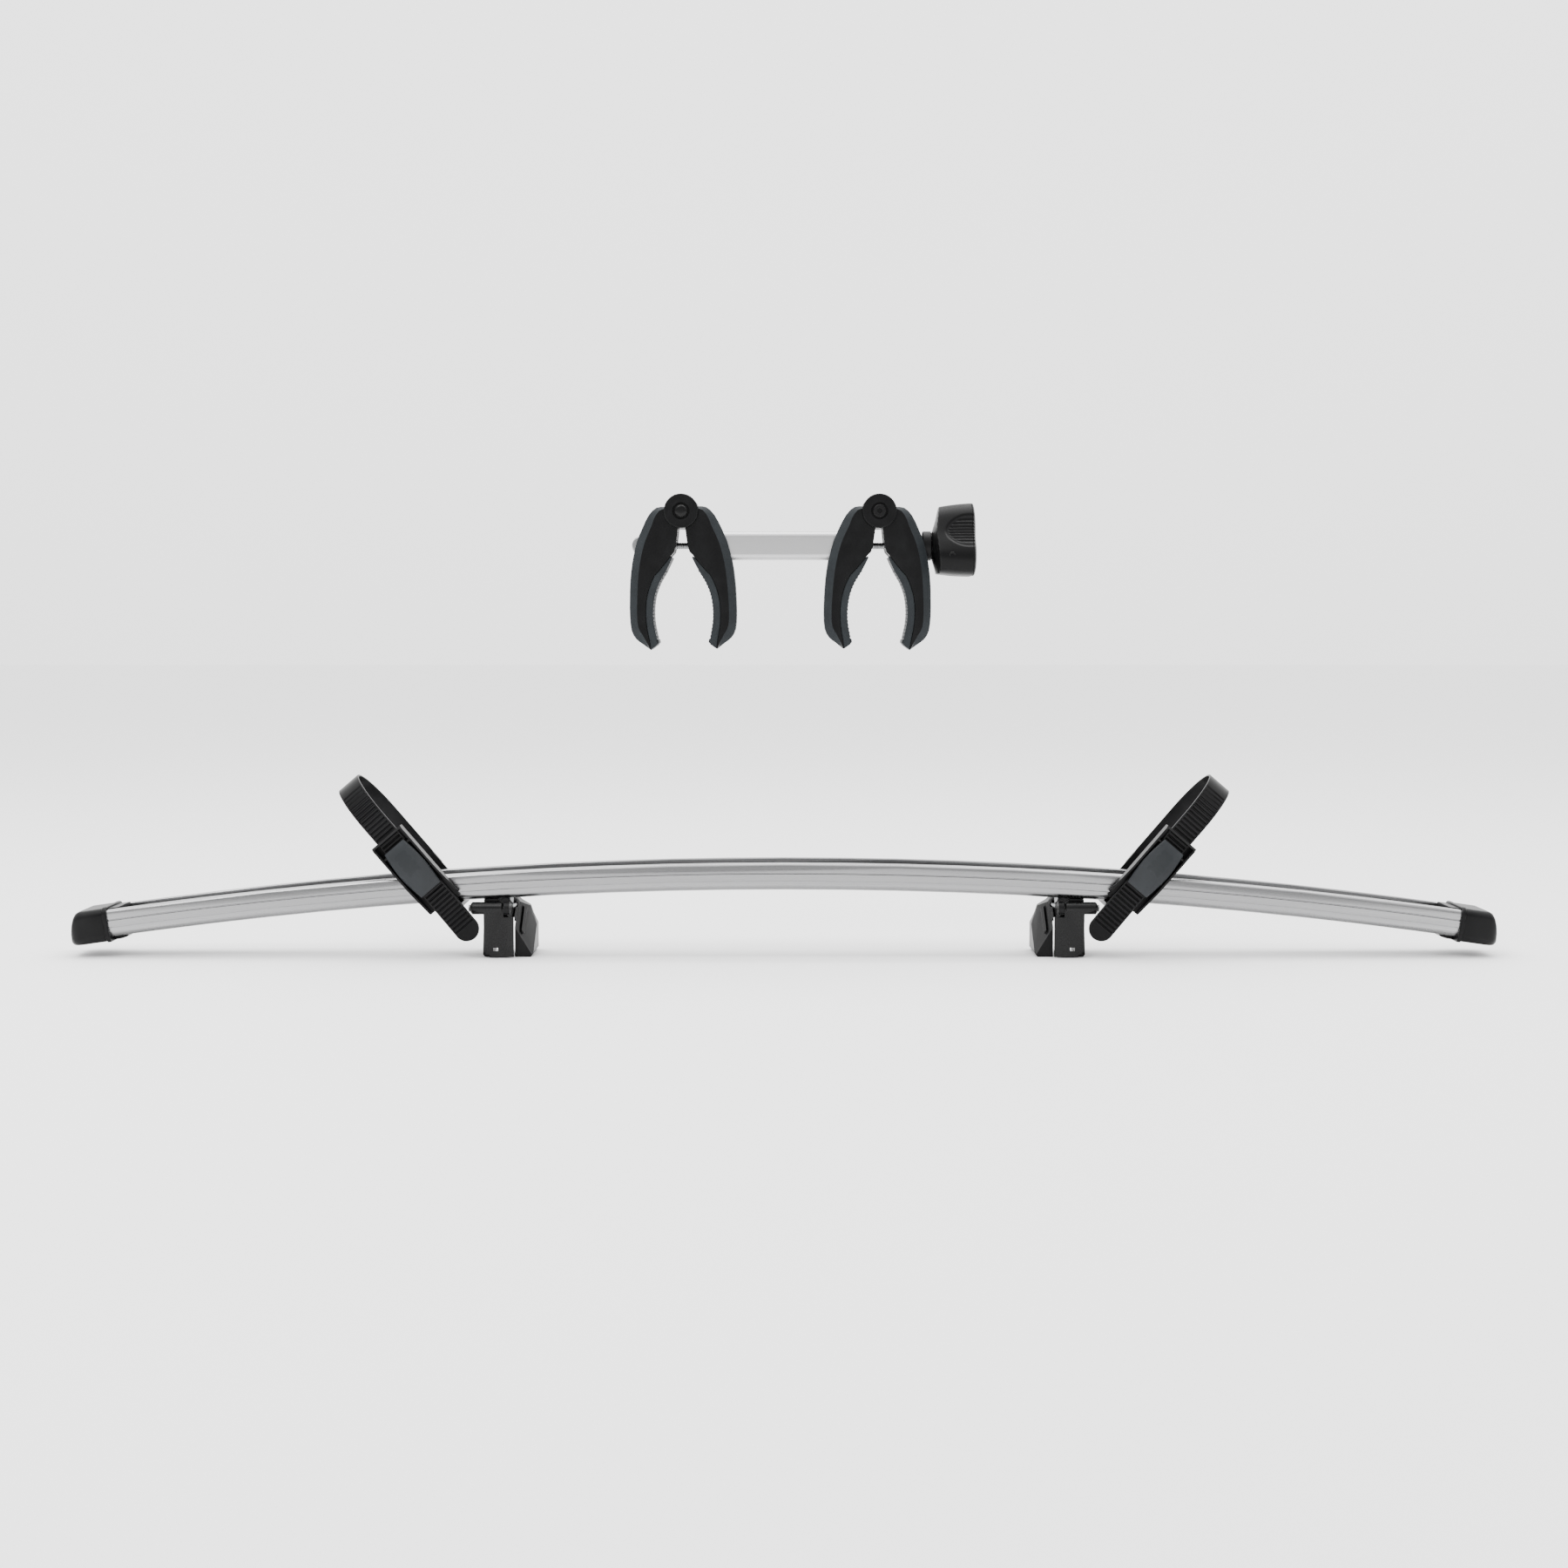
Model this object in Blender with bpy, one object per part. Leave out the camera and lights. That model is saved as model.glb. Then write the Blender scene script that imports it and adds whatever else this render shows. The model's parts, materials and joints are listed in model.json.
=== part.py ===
"""Wheel rail and frame arm of a towbar bicycle carrier.

Metres, +Z up. X runs along the rail, -Y is the front, and the feet stand on Z = 0.
"""

import math

import bmesh
import bpy
from mathutils import Matrix, Vector

MM = 0.001
GAP = 0.3 * MM  # between pieces that touch

# Rail: an arc of one radius, with one section along its whole length
RAIL_LENGTH = 1320 * MM
RAIL_RADIUS = 4640 * MM
RAIL_TOP = 91 * MM
RAIL_HEIGHT = 26.7 * MM
RAIL_WIDTH = 56 * MM
RAIL_FLOOR = 2.3 * MM
RAIL_STEPS = 24

# End caps
CAP_GRIP = 12 * MM
CAP_REACH = 27.5 * MM
CAP_WALL = 1.8 * MM
CAP_UNDER = 3.8 * MM
CAP_TONGUE = 14 * MM

# Feet
FOOT_X = 265.5 * MM
FOOT_OUTER = 288 * MM
FOOT_INNER = 240 * MM
FOOT_FRONT = 22 * MM
FOOT_BACK = 30 * MM
FOOT_THROAT = (248 * MM, 281 * MM)
FOOT_THROAT_TOP = 37 * MM
FOOT_WALL = 3.2 * MM
FOOT_WINDOW = 257.2 * MM  # inner edge of the throat's open front, behind the hook plate
BARREL_RADIUS = 6 * MM
BARREL_Z = 47.2 * MM
BARREL_Y = -24.5 * MM
BARREL_ENDS = (267.4 * MM, 298.6 * MM)
HOOK_PIN_RADIUS = 2.1 * MM
LUG_WIDTH = 5.6 * MM
HOOK_PLATE = 2.4 * MM
HOOK_SIDES = (257.5 * MM, 286 * MM)
BOLT_RADIUS = 3 * MM
BOLT_HEAD_RADIUS = 7 * MM
NUT_RADIUS = 5.8 * MM
NUT_HEIGHT = 5 * MM
NUT_POCKET = 7.5 * MM

# Straps: each lies in a leaning plane. Along runs up the strap, across is its width.
STRAP_MIDDLE = Vector((-348, 0, 84)) * MM
STRAP_LEAN = math.radians(49.5)
STRAP_WIDTH = 24 * MM
STRAP_THICKNESS = 2 * MM
STRAP_APEX = 106.5 * MM
STRAP_ARCH = 46 * MM
STRAP_TAIL = 84 * MM
STRAP_ANCHOR = -2 * MM
ANCHOR_RADIUS = 2.2 * MM
BASE_PLATE = 2.4 * MM
BASE_CLEAR = 0.5 * MM
STRAP_FRONT = RAIL_WIDTH / 2 + 6.2 * MM
STRAP_BACK = RAIL_WIDTH / 2 + BASE_CLEAR + BASE_PLATE + STRAP_THICKNESS / 2 + 0.5 * MM
BASE_FOOT = 4.5 * MM
BASE_WIDTH = 26 * MM
FRAME_WIDTH = 35.4 * MM
FRAME_WALL = 1.8 * MM
FRAME_TOP = 43 * MM
FRAME_BOTTOM = -40 * MM
FRAME_DEPTH = 13.5 * MM
LEVER_TOP = 31 * MM
LEVER_BOTTOM = -22 * MM
LEVER_WIDTH = (23.5 * MM, 28.4 * MM)  # at its ends and at its middle
LEVER_PLATE = 2.6 * MM
LEVER_PIN_ALONG = 27 * MM
LEVER_PIN_RADIUS = 1.5 * MM
LEVER_EYE = 3.2 * MM
PAWL_PIN_ALONG = -3 * MM
PAWL_PIN_RADIUS = 1.0 * MM
PAWL_WIDTH = 20 * MM
PAWL_LENGTH = 13 * MM
PIN_CLEAR = 0.25 * MM

# Frame arm
PIVOT_LEFT = -97.1 * MM
PIVOT_RIGHT = 90.1 * MM
PIVOT_Z = 424 * MM
ROD_DROP = 32.4 * MM
ROD_RADIUS = 3.2 * MM
ROD_CLEAR = 0.6 * MM
MOVING_LEAN = math.radians(1.0)  # the moving jaws stand a little closed
FIXED_LEAN = math.radians(-0.9)  # and the fixed ones a little open
JAW_HALF = 21 * MM
JAW_EDGE_HALF = 16.5 * MM
BAND = 7.5 * MM
BOSS_RADIUS = 16 * MM
KNUCKLE_HALF = 9.8 * MM
PIVOT_BOLT_RADIUS = 4 * MM
PAD_HALF = 20 * MM
PAD_WIDTH = 7.6 * MM
TUBE_HEIGHT = 26.7 * MM
TUBE_DEPTH = 27 * MM
TUBE_WALL = 2 * MM
TUBE_CORNER = 5.5 * MM
SOCKET_FLOOR = 19 * MM
DISC_RADIUS = 16.25 * MM
DISC_THICKNESS = 3.2 * MM
DISC_RECESS = 8 * MM
NUT_X = 37.6 * MM
BARREL_NUT_RADIUS = 9.5 * MM
BARREL_NUT_HALF = 12.5 * MM
POCKET_HALF = 14.6 * MM
NUT_POCKET_WALL = NUT_X - 11.5 * MM  # the wall that the cross nut pulls on
COLLAR_POCKET = 33.0 * MM
COLLAR_RADIUS = 14 * MM
COLLAR_X = (41.4 * MM, 49.8 * MM)
NOSE_RADIUS = 9.5 * MM
NOSE_SETBACK = 2.6 * MM
KNOB_X = (50.4 * MM, 92.4 * MM)
KNOB_MEAN = 33.4 * MM
KNOB_LOBE = 6.4 * MM
KNOB_BACK = ((0.0, 12.8), (3.4, 23.6), (6.6, 37.6), (9.0, 60.0))  # depth and largest radius, mm
INSERT_RADIUS = 9 * MM
INSERT_LENGTH = 9 * MM
ROD_END = 69.5 * MM

# Inner and outer edges of a jaw at matching stations from its pivot to its tip,
# measured from the pivot for the jaw on the +X side of its claw
JAW_STATIONS = (
    ((2.6, -11.0), (15.0, 4.4)),
    ((3.8, -18.0), (23.5, 3.6)),
    ((4.6, -25.0), (31.0, -3.5)),
    ((6.0, -34.0), (37.4, -16.0)),
    ((9.2, -43.5), (42.8, -29.0)),
    ((15.7, -56.7), (47.2, -47.0)),
    ((21.9, -67.0), (49.6, -65.0)),
    ((26.3, -78.5), (50.5, -82.0)),
    ((28.2, -90.0), (50.7, -98.0)),
    ((28.4, -101.0), (49.4, -112.0)),
    ((27.2, -110.5), (45.0, -120.2)),
    ((25.6, -118.5), (38.0, -125.6)),
    ((25.2, -126.0), (31.5, -130.6)),
)
PAD_FROM = 4  # the station where the rubber lining starts


def finish(name, colour, roughness, metallic=0.0):
    """A material with one Principled surface."""
    material = bpy.data.materials.new(name)
    material.use_nodes = True
    surface = material.node_tree.nodes["Principled BSDF"]
    surface.inputs["Base Color"].default_value = (*colour, 1.0)
    surface.inputs["Roughness"].default_value = roughness
    surface.inputs["Metallic"].default_value = metallic
    return material


def temporary(bm):
    """A scene object that holds a bmesh while a Boolean works on it."""
    mesh = bpy.data.meshes.new("temporary")
    bm.to_mesh(mesh)
    obj = bpy.data.objects.new("temporary", mesh)
    bpy.context.scene.collection.objects.link(obj)
    return obj


def combined(operation, body, tools):
    """The body after each tool is cut away (DIFFERENCE), joined (UNION) or kept in common (INTERSECT)."""
    target = temporary(body)
    helpers = [temporary(tool) for tool in tools]
    for helper in helpers:
        modifier = target.modifiers.new("boolean", "BOOLEAN")
        modifier.operation = operation
        modifier.solver = "EXACT"
        modifier.object = helper
    bpy.context.view_layer.update()
    graph = bpy.context.evaluated_depsgraph_get()
    result = bmesh.new()
    result.from_mesh(target.evaluated_get(graph).to_mesh())
    for obj in [target, *helpers]:
        bpy.data.objects.remove(obj)
    bmesh.ops.remove_doubles(result, verts=result.verts, dist=1e-6)
    bmesh.ops.dissolve_degenerate(result, edges=result.edges, dist=2e-6)
    return result


def carve(body, *tools):
    return combined("DIFFERENCE", body, tools)


def fuse(body, *tools):
    return combined("UNION", body, tools)


def face_outwards(bm):
    """Turns every face over when mirroring has left the solid inside out."""
    if bm.calc_volume(signed=True) < 0:
        bmesh.ops.reverse_faces(bm, faces=bm.faces)


def piece(name, bm, material, turn=None, mirror=False, sharp=40):
    """The named object for one solid, placed by the matrix turn and mirrored across X when asked."""
    if turn is not None:
        bm.transform(turn)
    if mirror:
        bm.transform(Matrix.Scale(-1, 4, (1, 0, 0)))
    face_outwards(bm)
    mesh = bpy.data.meshes.new(name)
    bm.to_mesh(mesh)
    mesh.shade_smooth()
    mesh.set_sharp_from_angle(angle=math.radians(sharp))
    mesh.materials.append(material)
    obj = bpy.data.objects.new(name, mesh)
    bpy.context.scene.collection.objects.link(obj)
    return obj


def skin(rings):
    """A closed solid through rings of points that all have the same count."""
    bm = bmesh.new()
    rows = [[bm.verts.new(point) for point in ring] for ring in rings]
    for row, following in zip(rows, rows[1:]):
        for i in range(len(row)):
            j = (i + 1) % len(row)
            bm.faces.new((row[i], row[j], following[j], following[i]))
    bm.faces.new(reversed(rows[0]))
    bm.faces.new(rows[-1])
    bmesh.ops.recalc_face_normals(bm, faces=bm.faces)
    return bm


def block(low, high):
    """A box between two corners."""
    (x0, y0, z0), (x1, y1, z1) = low, high
    ring = ((x0, y0), (x1, y0), (x1, y1), (x0, y1))
    return skin([[Vector((x, y, z)) for x, y in ring] for z in (z0, z1)])


def prism_y(outline, y0, y1):
    """An X-Z outline extruded along Y."""
    return skin([[Vector((x, y, z)) for x, z in outline] for y in (y0, y1)])


def prism_x(outline, x0, x1):
    """A Y-Z outline extruded along X."""
    return skin([[Vector((x, y, z)) for y, z in outline] for x in (x0, x1)])


def turned(profile, axis, centre, steps=24):
    """A solid of revolution. Profile points are (distance along the axis, radius), ends on the axis left out."""
    sides = {"X": (1, 2, 0), "Y": (2, 0, 1), "Z": (0, 1, 2)}[axis]
    rings = []
    for along, radius in profile:
        ring = []
        for i in range(steps):
            angle = 2 * math.pi * i / steps
            point = [0.0, 0.0, 0.0]
            point[sides[0]] = radius * math.cos(angle)
            point[sides[1]] = radius * math.sin(angle)
            point[sides[2]] = along
            ring.append(Vector(point) + Vector(centre))
        rings.append(ring)
    return skin(rings)


def rod(axis, centre, low, high, radius, steps=24, chamfer=0.0):
    """A cylinder from low to high along its axis, with its ends chamfered when asked."""
    if not chamfer:
        return turned(((low, radius), (high, radius)), axis, centre, steps)
    profile = (
        (low, radius - chamfer),
        (low + chamfer, radius),
        (high - chamfer, radius),
        (high, radius - chamfer),
    )
    return turned(profile, axis, centre, steps)


def arc(cx, cy, radius, start, end, steps):
    """Points on a circle, the angles in degrees."""
    angles = [math.radians(start + (end - start) * i / steps) for i in range(steps + 1)]
    return [(cx + radius * math.cos(a), cy + radius * math.sin(a)) for a in angles]


def rounded(half_x, half_y, radius, steps=5, cx=0.0, cy=0.0):
    """A rectangle's outline with round corners."""
    points = []
    for sx, sy, start in ((1, 1, 0), (-1, 1, 90), (-1, -1, 180), (1, -1, 270)):
        corner = (cx + sx * (half_x - radius), cy + sy * (half_y - radius))
        points += arc(*corner, radius, start, start + 90, steps)
    return points


def grown(outline, distance):
    """The outline, which runs anticlockwise, moved outwards by a distance."""
    points = [Vector(p) for p in outline]
    result = []
    for i, point in enumerate(points):
        before = (point - points[i - 1]).normalized()
        after = (points[(i + 1) % len(points)] - point).normalized()
        outward = Vector((before.y + after.y, -before.x - after.x)).normalized()
        across = outward.dot(Vector((before.y, -before.x)))
        result.append(tuple(point + outward * distance / max(across, 0.3)))
    return result


def smoothed(points, steps):
    """Points on a Catmull-Rom curve through the given ones."""
    ends = [2 * points[0] - points[1], *points, 2 * points[-1] - points[-2]]
    result = []
    for a, b, c, d in zip(ends, ends[1:], ends[2:], ends[3:]):
        for i in range(steps):
            t = i / steps
            curve = 2 * b + (c - a) * t
            curve += (2 * a - 5 * b + 4 * c - d) * t**2
            curve += (3 * b - a - 3 * c + d) * t**3
            result.append(curve / 2)
    return [*result, points[-1]]


# ---------------------------------------------------------------- rail and caps

RAIL_CENTRE = Vector((0, 0, RAIL_TOP - RAIL_RADIUS))


def along_rail(distance, height=0.0):
    """The frame at an arc distance from the rail's middle: X along it, origin on its underside."""
    angle = distance / RAIL_RADIUS
    radius = RAIL_RADIUS - RAIL_HEIGHT + height
    turn = Matrix.Rotation(angle, 4, "Y")
    return Matrix.Translation(RAIL_CENTRE) @ turn @ Matrix.Translation((0, 0, radius))


def rail_section():
    """The rail's Y-Z outline, anticlockwise, from the middle of its underside."""
    half = RAIL_WIDTH / 2
    under = 9.2 * MM
    lip = 4.7 * MM
    wall = 2.4 * MM
    side = half - 0.4 * MM
    outer = [(0, 0), *arc(side - under, under, under, -90, 0, 5)]
    outer += [(half, under + 0.5 * MM), (half, 15.8 * MM), (half - MM, 16.2 * MM)]
    outer += [(half - MM, 16.8 * MM), (half, 17.2 * MM)]
    outer += arc(half - lip, RAIL_HEIGHT - lip, lip, 0, 90, 5)
    edge = half - 6.5 * MM
    bend = lip - 2.9 * MM
    outer += arc(edge + bend, RAIL_HEIGHT - bend, bend, 100, 180, 3)
    outer += [(edge, 21.3 * MM), (half - wall, 17.4 * MM)]
    floor_bend = under - RAIL_FLOOR
    outer += arc(half - wall - floor_bend, under, floor_bend, 0, -90, 3)
    inner_end = [(0, RAIL_FLOOR)]
    mirrored = [(-y, z) for y, z in reversed(outer[1:])]
    return [*outer, *inner_end, *mirrored]


def rail_blank():
    section = rail_section()
    rings = []
    for i in range(RAIL_STEPS + 1):
        place = along_rail(RAIL_LENGTH * (i / RAIL_STEPS - 0.5))
        rings.append([place @ Vector((0, y, z)) for y, z in section])
    return skin(rings)


def foot_frame():
    """The rail's frame over the right foot."""
    return along_rail(RAIL_RADIUS * math.asin(FOOT_X / RAIL_RADIUS))


def make_rail(material):
    holes = []
    for mirror in (1, -1):
        hole = rod("Z", (0, 0, 0), -5 * MM, 9 * MM, BOLT_RADIUS + GAP)
        hole.transform(Matrix.Scale(mirror, 4, (1, 0, 0)) @ foot_frame())
        face_outwards(hole)
        holes.append(hole)
    piece("rail", carve(rail_blank(), *holes), material, sharp=28)


def cap_ring(x, top, bottom, half):
    """One rounded Y-Z section of an end cap."""
    middle = (top + bottom) / 2
    corner = min(7 * MM, 0.45 * (top - bottom), 0.45 * half)
    outline = rounded(half, (top - bottom) / 2, corner, 4, 0, middle)
    return [Vector((x, y, z)) for y, z in outline]


def make_caps(material):
    half = RAIL_WIDTH / 2 + CAP_WALL
    top = RAIL_HEIGHT + CAP_WALL
    bead = 0.9 * MM
    # distance past the rail's end, drop of the top, rise of the bottom, narrowing
    nose = ((0.54, 0, 0, 0), (0.68, 1.6, 0, 1.0), (0.79, 5, 0, 2.2), (0.88, 10, 0.3, 4))
    nose += ((0.95, 16, 0.8, 6.5), (1.0, 24, 2.6, 10))
    for side, mirror in (("right", False), ("left", True)):
        rings = []
        for x, proud in ((0, 0.3), (1, 1), (3.4, 1), (4.4, 0), (12, 0)):
            extra = proud * bead
            rings.append(
                cap_ring(x * MM - CAP_GRIP, top + extra, -CAP_UNDER - extra, half + extra)
            )
        for share, drop, rise, narrow in nose:
            rings.append(
                cap_ring(
                    share * CAP_REACH,
                    top - drop * MM,
                    -CAP_UNDER + rise * MM,
                    half - narrow * MM,
                )
            )
        body = skin(rings)
        start = -CAP_GRIP - CAP_TONGUE
        under = prism_y(
            [
                (start + 6 * MM, -0.9 * MM),
                (0, -0.9 * MM),
                (0, -CAP_UNDER),
                (-CAP_GRIP + MM, -CAP_UNDER),
                (start + 7 * MM, -CAP_UNDER + 0.2 * MM),
                (start + 2 * MM, -2.6 * MM),
                (start, -0.9 * MM),
            ],
            -14 * MM,
            14 * MM,
        )
        edge = RAIL_WIDTH / 2 - 7.4 * MM
        tongue = block(
            (-CAP_GRIP - 10 * MM, -edge, RAIL_FLOOR + 0.6 * MM),
            (0, edge, RAIL_HEIGHT + 0.7 * MM),
        )
        slot = prism_x(grown(rail_section(), GAP), -50 * MM, GAP)
        body = carve(fuse(body, under, tongue), slot)
        place = along_rail(RAIL_LENGTH / 2)
        piece(f"end_cap_{side}", body, material, place, mirror)


# ---------------------------------------------------------------- feet


def foot_outline():
    """The foot's front silhouette. Its top follows the rail's underside."""
    top = foot_frame() @ Matrix.Translation((0, 0, -1.2 * GAP))
    outer = top @ Vector((FOOT_OUTER - FOOT_X, 0, 0))
    inner = top @ Vector((-1.5 * MM, 0, 0))
    cheek = ((15.5, 49.3), (7.2, 44.3), (4.7, 36.7), (0, 26.7), (0, 3), (2.4, 0))
    outline = [(FOOT_OUTER - 2 * MM, 0), (FOOT_OUTER, 2 * MM), (outer.x, outer.z)]
    outline += [(inner.x, inner.z)]
    outline += [(FOOT_INNER + x * MM, z * MM) for x, z in cheek]
    return outline


def foot_body():
    body = prism_y(foot_outline(), -FOOT_FRONT, FOOT_BACK)
    low, high = FOOT_THROAT
    throat = block((low, -FOOT_FRONT + FOOT_WALL, -5 * MM), (high, 60 * MM, FOOT_THROAT_TOP))
    window = block((FOOT_WINDOW, -60 * MM, -5 * MM), (high, 0, FOOT_THROAT_TOP))
    # the cheek towards the rail's middle is cut back along a slope, so it shows from the front
    front = [
        Vector((264.7, -FOOT_FRONT / MM, 41)) * MM,
        Vector((241, -FOOT_FRONT / MM, 2)) * MM,
    ]
    back = Vector((FOOT_INNER - 0.5 * MM, 6 * MM, 20 * MM))
    normal = (front[1] - front[0]).cross(back - front[0]).normalized()
    if normal.x > 0:
        normal.negate()
    slope = Matrix.Translation(front[0]) @ normal.to_track_quat("Z", "Y").to_matrix().to_4x4()
    wedge = block((-80 * MM, -80 * MM, 0), (80 * MM, 80 * MM, 60 * MM))
    behind = block((-90 * MM, -90 * MM, -90 * MM), (90 * MM, 90 * MM, -FOOT_WALL))
    for tool in (wedge, behind):
        tool.transform(slope)
    throat = combined("INTERSECT", throat, [behind])
    barrel = rod(
        "X",
        (0, BARREL_Y, BARREL_Z),
        BARREL_ENDS[0] - 0.4 * MM,
        FOOT_OUTER + 5 * MM,
        BARREL_RADIUS + 0.6 * MM,
    )
    step = block(
        (BARREL_ENDS[0] - 0.4 * MM, -40 * MM, -5 * MM),
        (FOOT_OUTER + 5 * MM, -FOOT_FRONT + 1.6 * MM, 60 * MM),
    )
    lug_end = BARREL_ENDS[0] - 0.6 * MM
    lug_start = lug_end - LUG_WIDTH
    axis = (0, BARREL_Y, BARREL_Z)
    lug = rod("X", axis, lug_start, lug_end, BARREL_RADIUS + 0.3 * MM)
    web = block(
        (lug_start, BARREL_Y, BARREL_Z - 5 * MM), (lug_end, 0, BARREL_Z + 3 * MM)
    )
    pin = rod(
        "X", (0, BARREL_Y, BARREL_Z), 200 * MM, 310 * MM, HOOK_PIN_RADIUS + PIN_CLEAR, 16
    )
    body = carve(body, throat, window, wedge, barrel, step)
    ribs = []
    for x, z0 in ((249, 22), (256, 34)):
        rib = block((x * MM, -17 * MM, z0 * MM), ((x + 2.2) * MM, 12 * MM, 60 * MM))
        ribs.append(combined("INTERSECT", rib, [foot_rib_limit(normal, front[0])]))
    body = fuse(body, lug, web, *ribs)
    bolt = rod("Z", (0, 0, 0), -60 * MM, 10 * MM, BOLT_RADIUS + GAP)
    pocket = rod("Z", (0, 0, 0), -60 * MM, -NUT_POCKET, NUT_RADIUS + 1.2 * MM, 16)
    for tool in (bolt, pocket):
        tool.transform(foot_frame())
    return carve(body, pin, bolt, pocket)


def foot_rib_limit(normal, point):
    """What the ribs on a foot's sloping cheek may fill: a skin just proud of the slope."""
    limit = block((-60 * MM, -60 * MM, -3 * MM), (60 * MM, 60 * MM, 1.6 * MM))
    limit.transform(
        Matrix.Translation(point) @ normal.to_track_quat("Z", "Y").to_matrix().to_4x4()
    )
    outline = grown(list(foot_outline()), -0.05 * MM)
    return combined("INTERSECT", limit, [prism_y(outline, -FOOT_FRONT, FOOT_BACK)])


def foot_hook():
    """The hook plate with its edge rolled into a barrel, and a lip that turns into the throat."""
    barrel = rod(
        "X", (0, BARREL_Y, BARREL_Z), *BARREL_ENDS, BARREL_RADIUS, chamfer=1.6 * MM
    )
    front = BARREL_Y - BARREL_RADIUS + 0.8 * MM
    plate = block(
        (HOOK_SIDES[0], front, 1.0 * MM), (HOOK_SIDES[1], front + HOOK_PLATE, BARREL_Z)
    )
    arm = block(
        (HOOK_SIDES[0] - MM, front - 5 * MM, BARREL_Z - 8 * MM),
        (BARREL_ENDS[0] - 0.3 * MM, front + 20 * MM, BARREL_Z + 9 * MM),
    )
    lip = block((262 * MM, front, 1.0 * MM), (279.6 * MM, -15 * MM, 3.2 * MM))
    slot = block((272.4 * MM, -60 * MM, 6.6 * MM), (277 * MM, -16 * MM, 9.8 * MM))
    notch = block((280.5 * MM, -60 * MM, -MM), (284 * MM, 0, 3.4 * MM))
    corner = block((284 * MM, -60 * MM, -MM), (290 * MM, 0, 6 * MM))
    pin = rod(
        "X", (0, BARREL_Y, BARREL_Z), 200 * MM, 310 * MM, HOOK_PIN_RADIUS + PIN_CLEAR, 16
    )
    return carve(fuse(barrel, plate, lip), arm, slot, notch, corner, pin)


def make_feet(plastic, steel, zinc):
    axis = (0, BARREL_Y, BARREL_Z)
    head = BARREL_ENDS[1] + 0.8 * MM
    for side, mirror in (("right", False), ("left", True)):
        piece(f"foot_body_{side}", foot_body(), plastic, None, mirror)
        piece(f"foot_hook_{side}", foot_hook(), steel, None, mirror)
        pin = fuse(
            rod("X", axis, BARREL_ENDS[0] - LUG_WIDTH, head, HOOK_PIN_RADIUS, 16),
            rod("X", axis, head - 0.4 * MM, head + 1.2 * MM, 3.4 * MM, 16, 0.4 * MM),
        )
        piece(f"hook_pin_{side}", pin, zinc, None, mirror)
        bolt = turned(
            (
                (-NUT_POCKET - NUT_HEIGHT - 3 * MM, BOLT_RADIUS),
                (RAIL_FLOOR + GAP, BOLT_RADIUS),
                (RAIL_FLOOR + GAP, BOLT_HEAD_RADIUS),
                (RAIL_FLOOR + 1.6 * MM, BOLT_HEAD_RADIUS),
                (RAIL_FLOOR + 3 * MM, 0.6 * BOLT_HEAD_RADIUS),
            ),
            "Z",
            (0, 0, 0),
        )
        piece(f"rail_bolt_{side}", bolt, zinc, foot_frame(), mirror)
        nut = carve(
            rod(
                "Z",
                (0, 0, 0),
                -NUT_POCKET - GAP - NUT_HEIGHT,
                -NUT_POCKET - GAP,
                NUT_RADIUS,
                6,
                0.5 * MM,
            ),
            rod("Z", (0, 0, 0), -60 * MM, 20 * MM, BOLT_RADIUS + 0.1 * MM),
        )
        piece(f"rail_nut_{side}", nut, zinc, foot_frame(), mirror)


# ---------------------------------------------------------------- straps and buckles


def strap_frame():
    """The left strap's frame: X across its width, Y depth, Z up along it."""
    along = Vector((-math.cos(STRAP_LEAN), 0, math.sin(STRAP_LEAN)))
    across = Vector((math.sin(STRAP_LEAN), 0, math.cos(STRAP_LEAN)))
    turn = Matrix((across, (0, 1, 0), along)).transposed().to_4x4()
    return Matrix.Translation(STRAP_MIDDLE) @ turn


def strap_route():
    """The middle line of the strap as (depth, along) from its anchor over the top to the tail."""
    spring = STRAP_APEX - STRAP_ARCH
    centre = (STRAP_BACK - STRAP_FRONT) / 2
    half = (STRAP_BACK + STRAP_FRONT) / 2
    route = [(STRAP_BACK, STRAP_ANCHOR - 6 * MM), (STRAP_BACK, spring * 0.45)]
    for i in range(17):
        angle = math.pi * i / 16
        route.append(
            (centre + half * math.cos(angle), spring + STRAP_ARCH * math.sin(angle))
        )
    route += [(-STRAP_FRONT, 0.0), (-STRAP_FRONT, FRAME_BOTTOM + 6 * MM)]
    tail = -STRAP_TAIL - FRAME_BOTTOM
    for share, lean in ((0.35, 0.6), (0.7, 2.0), (0.88, 3.0), (0.96, 3.4), (1, 3.7)):
        route.append((-STRAP_FRONT - lean * MM, FRAME_BOTTOM + tail * share))
    return [Vector(p) for p in route]


def strap_solid():
    route = strap_route()
    rings = []
    for i, point in enumerate(route):
        ahead = route[min(i + 1, len(route) - 1)]
        behind = route[max(i - 1, 0)]
        heading = (ahead - behind).normalized()
        outward = Vector((heading.y, -heading.x)) * STRAP_THICKNESS / 2
        left = len(route) - 1 - i
        half = STRAP_WIDTH / 2 * (0.42, 0.78, 0.95)[left] if left < 3 else STRAP_WIDTH / 2
        inner = point - outward
        outer = point + outward
        rings.append(
            [
                Vector((-half, inner.x, inner.y)),
                Vector((half, inner.x, inner.y)),
                Vector((half, outer.x, outer.y)),
                Vector((-half, outer.x, outer.y)),
            ]
        )
    hole = rod(
        "Y",
        (0, 0, STRAP_ANCHOR),
        STRAP_BACK - 5 * MM,
        STRAP_BACK + 5 * MM,
        ANCHOR_RADIUS + GAP,
        16,
    )
    return carve(skin(rings), hole)


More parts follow.
